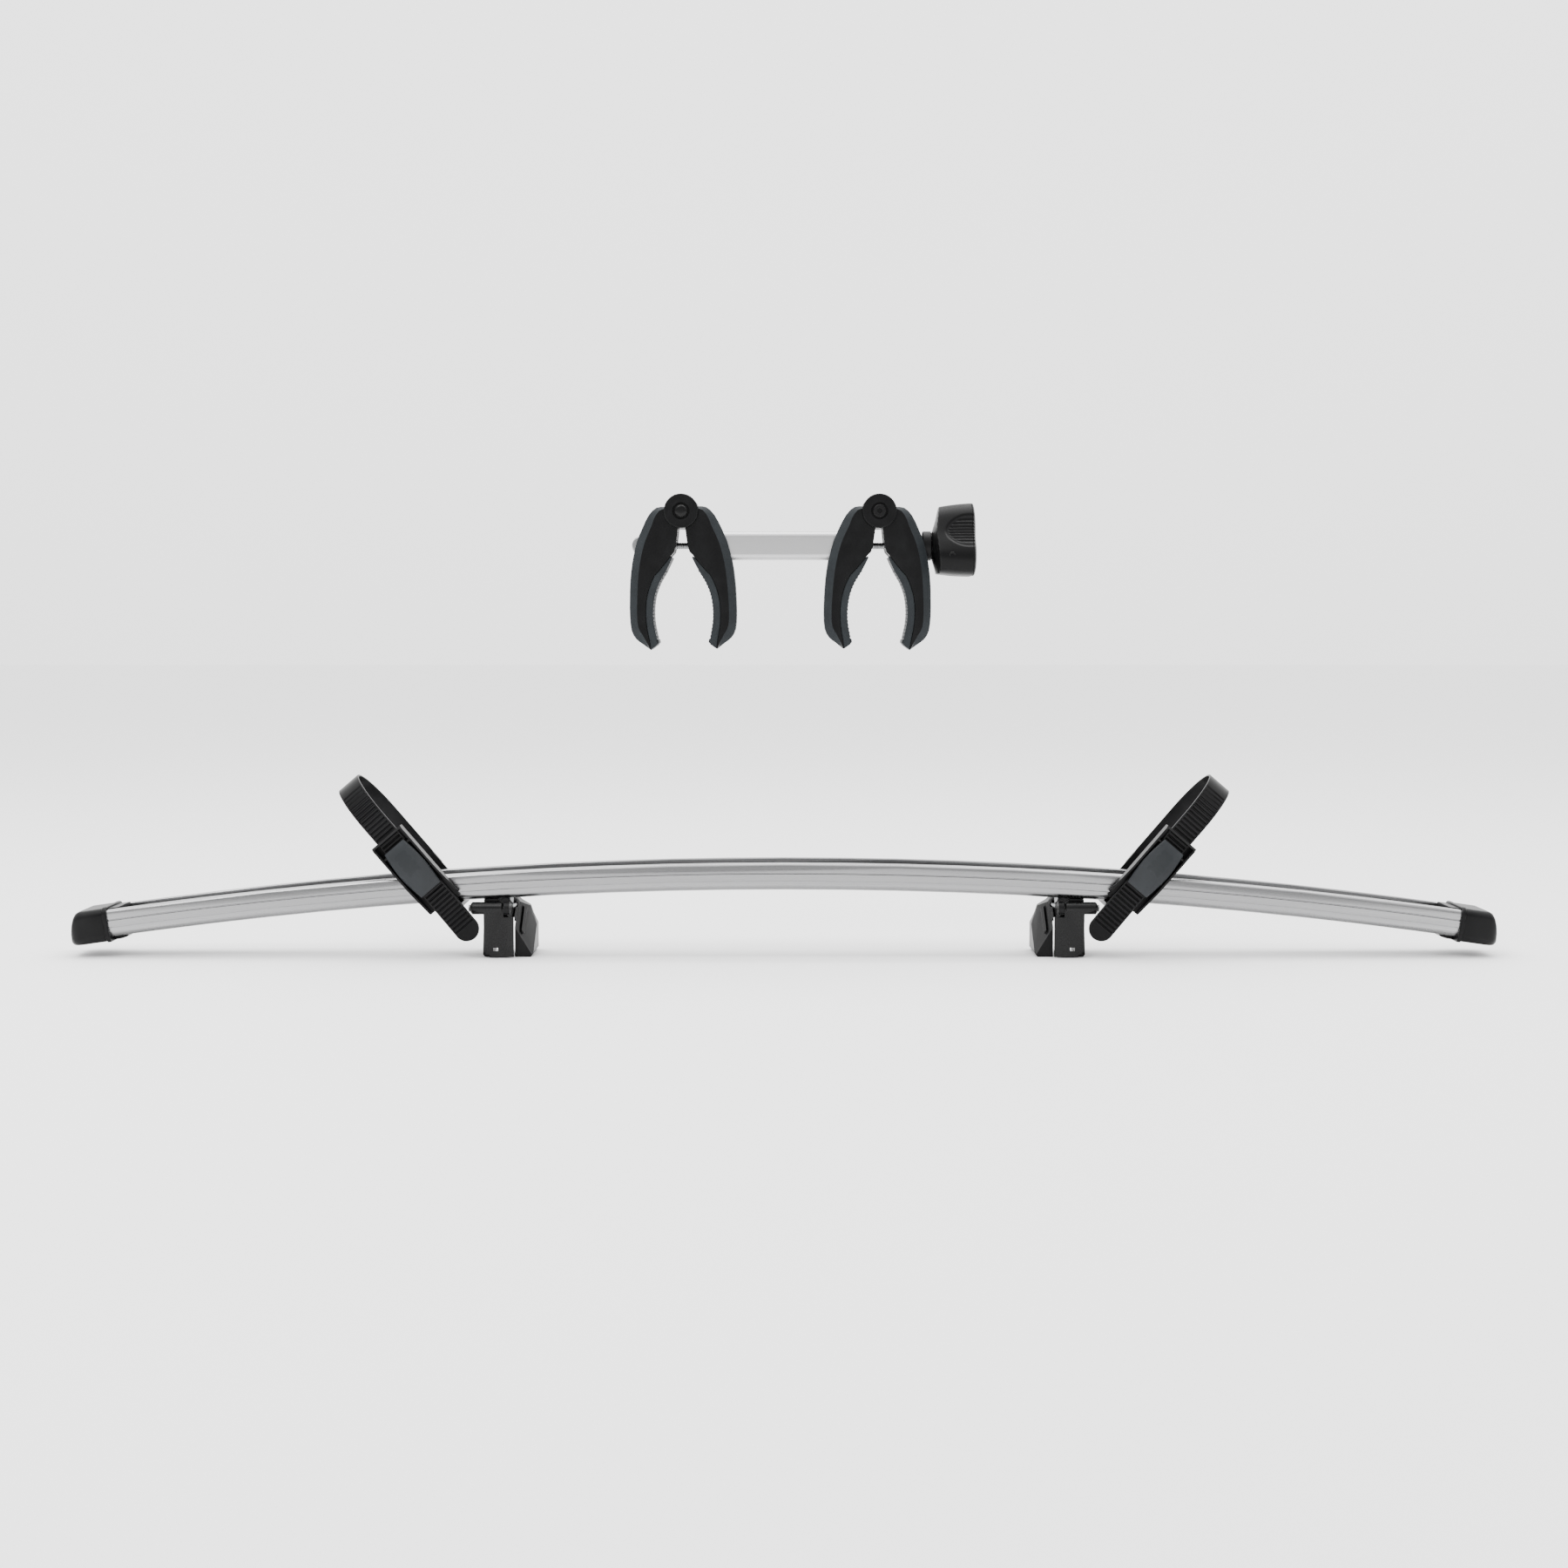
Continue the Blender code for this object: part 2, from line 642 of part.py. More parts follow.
def strap_base():
    """A bracket under the rail with an arm up each side, leaning with the strap."""
    inner = RAIL_WIDTH / 2 + BASE_CLEAR
    outer = inner + BASE_PLATE
    to_strap = strap_frame().inverted()
    angle = -math.asin(abs(rail_x_under_strap()) / RAIL_RADIUS)
    rail_here = to_strap @ along_rail(angle * RAIL_RADIUS)
    sill = block(
        (-BASE_WIDTH / 2, -outer, -BASE_CLEAR - BASE_FOOT),
        (BASE_WIDTH / 2, outer, -BASE_CLEAR),
    )
    sill.transform(rail_here)
    half = FRAME_WIDTH / 2 - FRAME_WALL - 0.6 * MM
    front = block((-half, -outer, FRAME_BOTTOM - 4 * MM), (half, -inner, 20 * MM))
    back = block(
        (-STRAP_WIDTH / 2, inner, FRAME_BOTTOM - 4 * MM),
        (STRAP_WIDTH / 2, outer, STRAP_ANCHOR + 8 * MM),
    )
    floor_cut = block((-60 * MM, -60 * MM, -80 * MM), (60 * MM, 60 * MM, 0))
    floor_cut.transform(
        rail_here @ Matrix.Translation((0, 0, -BASE_CLEAR - BASE_FOOT))
    )
    hole = rod("Y", (0, 0, STRAP_ANCHOR), 0, 50 * MM, ANCHOR_RADIUS + GAP, 16)
    return carve(fuse(sill, front, back), floor_cut, hole)


def rail_x_under_strap():
    """Where the strap's middle line passes behind the rail's lower edge."""
    return STRAP_MIDDLE.x + 27 * MM


def anchor_pin():
    inner = RAIL_WIDTH / 2 + BASE_CLEAR
    head = STRAP_BACK + STRAP_THICKNESS / 2 + GAP
    profile = (
        (inner + 0.2 * MM, ANCHOR_RADIUS),
        (head, ANCHOR_RADIUS),
        (head, 4.5 * MM),
        (head + 0.9 * MM, 4.3 * MM),
        (head + 1.7 * MM, 2.6 * MM),
    )
    return turned(profile, "Y", (0, 0, STRAP_ANCHOR), 20)


def buckle_frame():
    """An open channel: a floor behind the strap, two cheeks, and a bridge over the strap's entry."""
    floor_back = RAIL_WIDTH / 2 + BASE_CLEAR + BASE_PLATE + GAP
    floor_front = STRAP_FRONT - STRAP_THICKNESS / 2 - GAP
    half = FRAME_WIDTH / 2
    face = floor_back + FRAME_DEPTH
    side = [
        (-floor_back, FRAME_BOTTOM),
        (-floor_back, FRAME_TOP),
        (-face + 3 * MM, FRAME_TOP),
        (-face, FRAME_TOP - 3 * MM),
        (-face, -8 * MM),
        (-face + 4 * MM, -24 * MM),
        (-face + 8 * MM, FRAME_BOTTOM + 2 * MM),
        (-face + 10 * MM, FRAME_BOTTOM),
    ]
    body = prism_x(side, -half, half)
    inner = half - FRAME_WALL
    room = block((-inner, -80 * MM, -90 * MM), (inner, -floor_front, FRAME_TOP - 2.2 * MM))
    entry = block(
        (-inner, -STRAP_FRONT - 3 * MM, 30 * MM), (inner, -floor_front, 60 * MM)
    )
    tools = [room, entry]
    pins = ((LEVER_PIN_ALONG, LEVER_PIN_RADIUS), (PAWL_PIN_ALONG, PAWL_PIN_RADIUS))
    for along, radius in pins:
        tools.append(
            rod("X", (0, -pin_depth(along), along), -half * 2, half * 2, radius + GAP, 16)
        )
    return carve(body, *tools)


def pin_depth(along):
    """How far in front of the strap a buckle pin at that place lies."""
    lift = 4.6 * MM if along == LEVER_PIN_ALONG else 3.2 * MM
    return STRAP_FRONT + STRAP_THICKNESS / 2 + lift


def buckle_lever():
    """A crowned cover plate with an eye at its top that turns on the pin."""
    depth = pin_depth(LEVER_PIN_ALONG)
    rings = []
    stations = 8
    for i in range(stations + 1):
        t = i / stations
        along = LEVER_TOP + (LEVER_BOTTOM - LEVER_TOP) * t
        half = (LEVER_WIDTH[0] + (LEVER_WIDTH[1] - LEVER_WIDTH[0]) * math.sin(math.pi * t)) / 2
        crown = 1.5 * MM * math.sin(math.pi * min(1, 0.15 + 0.85 * t))
        face = depth + 4.2 * MM + crown
        edge = 0.9 * MM
        rings.append(
            [
                Vector((-half, -face + edge, along)),
                Vector((-half + edge, -face, along)),
                Vector((half - edge, -face, along)),
                Vector((half, -face + edge, along)),
                Vector((half, -face + LEVER_PLATE, along)),
                Vector((-half, -face + LEVER_PLATE, along)),
            ]
        )
    plate = skin(rings)
    half = LEVER_WIDTH[0] / 2 - 0.5 * MM
    eye = rod("X", (0, -depth, LEVER_PIN_ALONG), -half, half, LEVER_EYE)
    neck = block(
        (-half, -depth - 4.6 * MM, LEVER_PIN_ALONG - 2.2 * MM),
        (half, -depth, LEVER_PIN_ALONG + 2.2 * MM),
    )
    bore = rod(
        "X",
        (0, -depth, LEVER_PIN_ALONG),
        -50 * MM,
        50 * MM,
        LEVER_PIN_RADIUS + PIN_CLEAR,
        16,
    )
    return carve(fuse(plate, eye, neck), bore)


def buckle_pawl():
    """A tongue that turns on its pin and rests its edge on the strap's ribs."""
    depth = pin_depth(PAWL_PIN_ALONG)
    strap_face = STRAP_FRONT + STRAP_THICKNESS / 2
    half = PAWL_WIDTH / 2
    eye = rod("X", (0, -depth, PAWL_PIN_ALONG), -half, half, 2.2 * MM, 16)
    tip = PAWL_PIN_ALONG + PAWL_LENGTH
    outline = [
        (-depth - 1.6 * MM, PAWL_PIN_ALONG),
        (-depth + 1.2 * MM, PAWL_PIN_ALONG),
        (-strap_face - 1.2 * MM, tip - 2 * MM),
        (-strap_face - 0.7 * MM, tip),
        (-strap_face - 2.4 * MM, tip),
    ]
    bore = rod(
        "X",
        (0, -depth, PAWL_PIN_ALONG),
        -50 * MM,
        50 * MM,
        PAWL_PIN_RADIUS + PIN_CLEAR,
        12,
    )
    return carve(fuse(eye, prism_x(outline, -half, half)), bore)


def make_straps(plastic, strap, lever, steel, zinc):
    for side, mirror in (("left", False), ("right", True)):
        place = strap_frame()
        piece(f"strap_{side}", strap_solid(), strap, place, mirror, 60)
        piece(f"strap_base_{side}", strap_base(), plastic, place, mirror)
        piece(f"anchor_pin_{side}", anchor_pin(), zinc, place, mirror)
        piece(f"buckle_frame_{side}", buckle_frame(), plastic, place, mirror)
        piece(f"buckle_lever_{side}", buckle_lever(), lever, place, mirror)
        piece(f"buckle_pawl_{side}", buckle_pawl(), plastic, place, mirror)
        half = FRAME_WIDTH / 2
        for name, along, radius in (
            ("buckle_pin", LEVER_PIN_ALONG, LEVER_PIN_RADIUS),
            ("pawl_pin", PAWL_PIN_ALONG, PAWL_PIN_RADIUS),
        ):
            pin = rod("X", (0, -pin_depth(along), along), -half, half, radius, 16)
            piece(f"{name}_{side}", pin, steel, place, mirror)


# ---------------------------------------------------------------- frame arm


def jaw_edges(steps=2):
    """Smooth inner and outer edges of a jaw and the width of its lining, station by station."""
    inner = smoothed([Vector(a) * MM for a, b in JAW_STATIONS], steps)
    outer = smoothed([Vector(b) * MM for a, b in JAW_STATIONS], steps)
    widths = []
    for i in range(len(inner)):
        grow = (i / steps - PAD_FROM + 0.5) / 2
        widths.append(PAD_WIDTH * min(1, max(0, grow)))
    return list(zip(inner, outer, widths))


def jaw_ring(inner, outer, lined, share):
    """One section of a jaw: full depth at its core, thinner at its outer edge."""
    out = (outer - inner).normalized()
    start = inner + out * (lined + GAP if lined else 0)
    width = (outer - start).length
    shoulder = outer - out * min(BAND * share, width * 0.6)
    ring = []
    for point, half in (
        (start, -JAW_HALF),
        (shoulder, -JAW_HALF),
        (outer, -JAW_EDGE_HALF),
        (outer, JAW_EDGE_HALF),
        (shoulder, JAW_HALF),
        (start, JAW_HALF),
    ):
        ring.append(Vector((point.x, half, point.y)))
    return ring


def jaw_blank(lean):
    """A jaw's plain shape, closed a little by its lean."""
    rings = []
    for i, (inner, outer, lined) in enumerate(jaw_edges()):
        share = min(1, 0.3 + 0.14 * i)
        rings.append(jaw_ring(inner, outer, lined, share))
    blank = skin(rings)
    blank.transform(Matrix.Rotation(lean, 4, "Y"))
    return blank


def knuckle(low, high, radius=BOSS_RADIUS):
    return rod("Y", (0, 0, 0), low, high, radius, 32)


def inner_jaw():
    """The fixed jaw: its knuckle lies between the moving jaw's ears, and it holds the tube."""
    blank = jaw_blank(FIXED_LEAN)
    clear = BOSS_RADIUS + 0.4 * MM
    ears = [
        knuckle(KNUCKLE_HALF, 50 * MM, clear),
        knuckle(-50 * MM, -KNUCKLE_HALF, clear),
    ]
    body = fuse(carve(blank, *ears), knuckle(-KNUCKLE_HALF, KNUCKLE_HALF))
    socket = prism_x(
        rounded(
            TUBE_DEPTH / 2 + GAP, TUBE_HEIGHT / 2 + GAP, TUBE_CORNER, 4, 0, -ROD_DROP
        ),
        SOCKET_FLOOR,
        90 * MM,
    )
    bolt = knuckle(-50 * MM, 50 * MM, PIVOT_BOLT_RADIUS + GAP)
    passage = rod("X", (0, 0, -ROD_DROP), -20 * MM, 50 * MM, ROD_RADIUS + ROD_CLEAR)
    return carve(body, socket, bolt, passage)


def outer_jaw(pocket_wall):
    """The moving jaw: two ears at the pivot, a slot for the rod and a pocket for what pulls it in."""
    blank = jaw_blank(MOVING_LEAN)
    ear = KNUCKLE_HALF + GAP
    body = fuse(
        blank,
        knuckle(ear, JAW_HALF),
        knuckle(-JAW_HALF, -ear),
    )
    room = knuckle(-ear, ear, BOSS_RADIUS + 0.4 * MM)
    slot = block((-30 * MM, -4.4 * MM, -47 * MM), (90 * MM, 4.4 * MM, -19 * MM))
    pocket = block((pocket_wall, -POCKET_HALF, -58 * MM), (90 * MM, POCKET_HALF, -3 * MM))
    bolt = knuckle(-50 * MM, 50 * MM, PIVOT_BOLT_RADIUS + PIN_CLEAR)
    return carve(body, room, slot, pocket, bolt)


def jaw_pad(lean):
    """The rubber lining on the inner edge of a jaw, with a tooth at its tip."""
    rings = []
    for inner, outer, lined in jaw_edges():
        if lined < 1.5 * MM:
            continue
        out = (outer - inner).normalized()
        far = inner + out * lined
        corner = inner + out * 0.8 * MM
        ring = []
        for point, half in (
            (inner, -PAD_HALF + 0.8 * MM),
            (corner, -PAD_HALF),
            (far, -PAD_HALF),
            (far, PAD_HALF),
            (corner, PAD_HALF),
            (inner, PAD_HALF - 0.8 * MM),
        ):
            ring.append(Vector((point.x, half, point.y)))
        rings.append(ring)
    tooth = prism_y(
        [
            (x * MM, z * MM)
            for x, z in ((27, -119.4), (24, -121.2), (23.6, -124), (25.4, -125.6), (29, -124))
        ],
        -PAD_HALF + 2 * MM,
        PAD_HALF - 2 * MM,
    )
    clear = [jaw_ring(*station, 1) for station in jaw_edges()]
    pad = carve(fuse(skin(rings), tooth), skin(clear))
    pad.transform(Matrix.Rotation(lean, 4, "Y"))
    return pad


def make_claws(plastic, rubber, steel, zinc):
    claws = (("left", PIVOT_LEFT, False), ("right", PIVOT_RIGHT, True))
    flip = Matrix.Scale(-1, 4, (1, 0, 0))
    for side, x, flipped in claws:
        pivot = Matrix.Translation((x, 0, PIVOT_Z))
        inner_place = pivot @ flip if flipped else pivot
        outer_place = pivot if flipped else pivot @ flip
        wall = COLLAR_POCKET if flipped else NUT_POCKET_WALL
        piece(f"inner_jaw_{side}", inner_jaw(), plastic, inner_place)
        piece(f"outer_jaw_{side}", outer_jaw(wall), plastic, outer_place)
        piece(f"inner_pad_{side}", jaw_pad(FIXED_LEAN), rubber, inner_place)
        piece(f"outer_pad_{side}", jaw_pad(MOVING_LEAN), rubber, outer_place)
        make_pivot(side, pivot, plastic, steel, zinc, not flipped)


def make_pivot(side, pivot, plastic, steel, zinc, domed):
    """Cover discs on both faces, the bolt through them and its nut."""
    face = JAW_HALF + GAP
    front = face + DISC_THICKNESS
    seat = face + 1.0 * MM
    edge = 0.8 * MM
    for name, sign in (("front_disc", -1), ("back_disc", 1)):
        disc = rod("Y", (0, 0, 0), face, front, DISC_RADIUS, 32, edge)
        recess = rod("Y", (0, 0, 0), seat, front + MM, DISC_RECESS, 20)
        bore = rod("Y", (0, 0, 0), 0, 60 * MM, PIVOT_BOLT_RADIUS + GAP, 16)
        disc = carve(disc, recess, bore)
        disc.transform(Matrix.Scale(sign, 4, (0, 1, 0)))
        face_outwards(disc)
        piece(f"{name}_{side}", disc, plastic, pivot)
    head = 6.2 * MM
    start = seat + GAP
    profile = [(-seat - 3.4 * MM, PIVOT_BOLT_RADIUS), (start, PIVOT_BOLT_RADIUS)]
    profile += [(start, head), (start + 1.6 * MM, head)]
    if domed:
        profile += [(start + 3.2 * MM, 0.75 * head), (start + 4 * MM, 0.35 * head)]
    else:
        profile += [(start + 2.4 * MM, 0.88 * head)]
    bolt = turned(profile, "Y", (0, 0, 0), 24)
    if not domed:
        socket = rod("Y", (0, 0, 0), start + 0.6 * MM, start + 5 * MM, 2.9 * MM, 6)
        bolt = carve(bolt, socket)
    bolt.transform(Matrix.Scale(-1, 4, (0, 1, 0)))
    piece(f"pivot_bolt_{side}", bolt, steel, pivot)
    nut = carve(
        rod("Y", (0, 0, 0), start, start + 3.4 * MM, 7 * MM, 6, 0.5 * MM),
        rod("Y", (0, 0, 0), 0, 60 * MM, PIVOT_BOLT_RADIUS + 0.1 * MM),
    )
    piece(f"pivot_nut_{side}", nut, zinc, pivot)


def make_tube(material):
    left = PIVOT_LEFT + SOCKET_FLOOR + 2 * GAP
    right = PIVOT_RIGHT - SOCKET_FLOOR - 2 * GAP
    axis = PIVOT_Z - ROD_DROP
    outside = rounded(TUBE_DEPTH / 2, TUBE_HEIGHT / 2, TUBE_CORNER, 6, 0, axis)
    inside = rounded(
        TUBE_DEPTH / 2 - TUBE_WALL,
        TUBE_HEIGHT / 2 - TUBE_WALL,
        TUBE_CORNER - TUBE_WALL,
        6,
        0,
        axis,
    )
    tube = carve(
        prism_x(outside, left, right), prism_x(inside, left - 9 * MM, right + 9 * MM)
    )
    piece("arm_tube", tube, material)


def make_tension(zinc, plastic, brass):
    """The rod, the cross nut at its left end, and the collar, insert and knob at its right end."""
    axis = (0, 0, PIVOT_Z - ROD_DROP)
    nut_x = PIVOT_LEFT - NUT_X
    end = PIVOT_RIGHT + ROD_END
    shank = rod("X", axis, nut_x - 5 * MM, end, ROD_RADIUS, 20, 0.6 * MM)
    piece("tension_rod", shank, zinc)
    nut = rod(
        "Y",
        (nut_x, 0, axis[2]),
        -BARREL_NUT_HALF,
        BARREL_NUT_HALF,
        BARREL_NUT_RADIUS,
        28,
        MM,
    )
    bore = rod("X", axis, nut_x - 30 * MM, nut_x + 30 * MM, ROD_RADIUS + 0.1 * MM, 20)
    piece("barrel_nut", carve(nut, bore), zinc)

    start, stop = COLLAR_X[0] + PIVOT_RIGHT, COLLAR_X[1] + PIVOT_RIGHT
    profile = []
    for degrees in (28, 40, 52, 64, 74):
        angle = math.radians(degrees)
        back = start + NOSE_SETBACK - NOSE_RADIUS * math.cos(angle)
        profile.append((back, NOSE_RADIUS * math.sin(angle)))
    profile += [
        (start, 10.5 * MM),
        (start, COLLAR_RADIUS - 0.8 * MM),
        (start + 0.8 * MM, COLLAR_RADIUS),
        (stop - 0.5 * MM, COLLAR_RADIUS),
        (stop, COLLAR_RADIUS - 0.5 * MM),
    ]
    collar = turned(profile, "X", axis, 32)
    bore = rod("X", axis, 0, 400 * MM, ROD_RADIUS + ROD_CLEAR, 20)
    piece("pressure_collar", carve(collar, bore), plastic)

    start = KNOB_X[0] + PIVOT_RIGHT
    insert = rod("X", axis, start, start + INSERT_LENGTH, INSERT_RADIUS, 6)
    bore = rod("X", axis, 0, 400 * MM, ROD_RADIUS + 0.15 * MM, 20)
    piece("knob_insert", carve(insert, bore), brass)
    piece("knob_body", knob_body(axis), plastic)
    piece("knob_cap", knob_cap(axis), plastic)


def knob_radius(angle, share):
    """The knob's radius: three lobes, the first pointing up, deeper towards the end face."""
    lobes = math.cos(3 * (angle - math.pi / 2))
    mean = KNOB_MEAN - 3.4 * MM * (1 - share) ** 2
    return mean + KNOB_LOBE * (lobes + 0.12 * lobes * lobes) * (0.8 + 0.2 * share)


def knob_ring(axis, x, share, inset=0.0, steps=48, limit=1.0):
    """One lobed section. The radius is taken back by inset where an edge is rounded."""
    ring = []
    for i in range(steps):
        angle = 2 * math.pi * i / steps
        radius = min(knob_radius(angle, share) - inset, limit)
        y, z = radius * math.cos(angle), radius * math.sin(angle)
        ring.append(Vector((x, y, axis[2] + z)))
    return ring


def knob_body(axis):
    """The knob without its end. Its back is a cone, so that the open jaw clears every lobe."""
    start, stop = KNOB_X[0] + PIVOT_RIGHT, KNOB_X[1] + PIVOT_RIGHT
    length = stop - start
    rings = []
    for depth, limit in KNOB_BACK:
        share = depth * MM / length
        rings.append(knob_ring(axis, start + depth * MM, share, 0, 48, limit * MM))
    for place, share, inset in ((0.5, 0.5, 0), (0.7, 0.7, 0), (0.82, 0.85, 0.2), (0.9, 1, 1.6)):
        rings.append(knob_ring(axis, start + place * length, share, inset * MM))
    body = skin(rings)
    hollow = rod(
        "X", axis, start + INSERT_LENGTH + GAP, start + 0.94 * length, 16 * MM, 24
    )
    seat = rod("X", axis, start - 9 * MM, start + 20 * MM, INSERT_RADIUS + GAP, 6)
    place = knob_hole_place(axis)
    pinhole = rod("Z", (0, 0, 0), -9 * MM, 20 * MM, 1.3 * MM, 12)
    pinhole.transform(place)
    return carve(body, hollow, seat, pinhole)


def knob_hole_place(axis):
    """The frame of the small hole in the knob's side, its Z pointing out of the knob."""
    angle = math.radians(194)
    x = PIVOT_RIGHT + KNOB_X[0] + 0.42 * (KNOB_X[1] - KNOB_X[0])
    outward = Vector((0, math.cos(angle), math.sin(angle)))
    point = Vector((x, 0, axis[2])) + outward * knob_radius(angle, 0.4)
    return Matrix.Translation(point) @ outward.to_track_quat("Z", "Y").to_matrix().to_4x4()


def knob_cap(axis):
    """The domed end of the knob, with the same lobes, held by a spigot in the hollow."""
    start, stop = KNOB_X[0] + PIVOT_RIGHT, KNOB_X[1] + PIVOT_RIGHT
    length = stop - start
    seat = start + 0.9 * length + GAP
    rings = []
    for forward, inset in ((0, 1.7), (0.25, 2.2), (0.5, 5), (0.75, 12), (0.93, 20)):
        rings.append(knob_ring(axis, seat + forward * (stop - seat), 1, inset * MM))
    spigot = rod("X", axis, seat - 2.4 * MM, seat + 1 * MM, 16 * MM - GAP, 24)
    return fuse(skin(rings), spigot)


def centre_pieces():
    """Moves every piece so that the whole object's box is centred over the origin."""
    corners = [obj.matrix_world @ Vector(c) for obj in bpy.data.objects for c in obj.bound_box]
    middle_x = (min(c.x for c in corners) + max(c.x for c in corners)) / 2
    middle_y = (min(c.y for c in corners) + max(c.y for c in corners)) / 2
    for obj in bpy.data.objects:
        obj.data.transform(Matrix.Translation((-middle_x, -middle_y, 0)))


def main():
    for obj in list(bpy.data.objects):
        bpy.data.objects.remove(obj)
    anodised = finish("anodised_aluminium", (0.78, 0.78, 0.79), 0.32, 1.0)
    satin = finish("tube_aluminium", (0.66, 0.66, 0.67), 0.42, 1.0)
    plastic = finish("black_plastic", (0.016, 0.016, 0.017), 0.45)
    jaw = finish("jaw_plastic", (0.022, 0.023, 0.024), 0.5)
    rubber = finish("pad_rubber", (0.045, 0.05, 0.055), 0.75)
    strap = finish("strap_plastic", (0.014, 0.014, 0.015), 0.4)
    lever = finish("lever_plastic", (0.05, 0.054, 0.058), 0.42)
    steel = finish("painted_steel", (0.012, 0.012, 0.013), 0.3)
    zinc = finish("zinc_steel", (0.6, 0.6, 0.62), 0.3, 1.0)
    brass = finish("brass", (0.6, 0.45, 0.2), 0.35, 1.0)
    make_rail(anodised)
    make_caps(plastic)
    make_feet(plastic, steel, zinc)
    make_straps(plastic, strap, lever, steel, zinc)
    make_claws(jaw, rubber, steel, zinc)
    make_tube(satin)
    make_tension(zinc, plastic, brass)
    bpy.context.view_layer.update()
    centre_pieces()


main()
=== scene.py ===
# %% [markdown]
# # A bicycle carrier's wheel rail and frame arm
#
# The object has two units. The lower one is an arched aluminium rail that a bicycle's wheels stand in,
# with a clamp foot under each side and a ratchet strap for each wheel. The upper one is an aluminium
# arm with a claw at each end, closed by one knob that turns on a long threaded rod.
#
# The working shapes and their joints come ready made as a frame. Each step below takes one kind of
# piece and gives it its finished surface: rounded edges, teeth, ribs and a material made of nodes.

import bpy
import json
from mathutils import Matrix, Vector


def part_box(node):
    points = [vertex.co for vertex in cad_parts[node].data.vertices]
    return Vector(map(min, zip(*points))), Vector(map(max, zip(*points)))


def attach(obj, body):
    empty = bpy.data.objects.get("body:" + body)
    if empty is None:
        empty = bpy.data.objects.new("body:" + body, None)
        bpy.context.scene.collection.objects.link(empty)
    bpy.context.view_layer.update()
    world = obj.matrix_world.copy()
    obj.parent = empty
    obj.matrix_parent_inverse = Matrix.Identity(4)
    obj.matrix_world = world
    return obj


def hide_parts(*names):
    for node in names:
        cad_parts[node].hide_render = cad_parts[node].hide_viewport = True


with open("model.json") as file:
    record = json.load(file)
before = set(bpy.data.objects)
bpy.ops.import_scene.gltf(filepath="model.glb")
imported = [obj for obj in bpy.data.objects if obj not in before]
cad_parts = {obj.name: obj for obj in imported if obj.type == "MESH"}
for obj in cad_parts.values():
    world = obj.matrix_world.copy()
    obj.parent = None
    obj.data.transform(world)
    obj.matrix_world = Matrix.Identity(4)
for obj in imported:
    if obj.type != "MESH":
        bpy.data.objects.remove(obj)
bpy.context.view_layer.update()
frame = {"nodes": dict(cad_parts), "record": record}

# %% Modules and units
import json
import math

import bmesh
import bpy
from mathutils import Matrix, Vector
from mathutils.bvhtree import BVHTree

MM = 0.001
SIDES = ("left", "right")

# %% [markdown]
# ## Places read from the frame
#
# A joint knows where its hinge line is, and a box knows how far a piece reaches. Reading both keeps
# this script free of copied coordinates, so a change to the frame carries through to the looks.

# %% Joints and the middle plane
joints = {joint["name"]: joint for joint in frame["record"]["behaviour"]["joints"]}
body_of = {}
for body, members in frame["record"]["behaviour"]["bodies"].items():
    for member in members:
        body_of[member] = body
slot_of = {part["node"]: part["material_slot"] for part in frame["record"]["subparts"]}


def joint_place(name):
    """The point that a hinge turns about."""
    return Vector(joints[name]["pos_m"])


rail_low, rail_high = [Vector(corner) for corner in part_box("rail")]
MIDDLE_Y = (rail_low.y + rail_high.y) / 2
print("middle plane at y =", round(MIDDLE_Y / MM, 2), "mm")
print("rail", round((rail_high.x - rail_low.x) / MM), "mm long")

# %% [markdown]
# ## Materials
#
# Real parts of this kind are extruded, moulded, plated or painted, and each of those leaves its own
# fine marks. One function makes a principled surface with a noise that moves its colour, roughness
# and normal a little. It also reads a number stored on each vertex, called wear, that is high on
# outside corners, where handling polishes plastic and thins paint.

# %% A node helper
def node(tree, kind, **values):
    """Adds a node and sets its properties or its inputs by name."""
    made = tree.nodes.new(kind)
    for name, value in values.items():
        if hasattr(made, name):
            setattr(made, name, value)
        else:
            made.inputs[name.replace("_", " ")].default_value = value
    return made


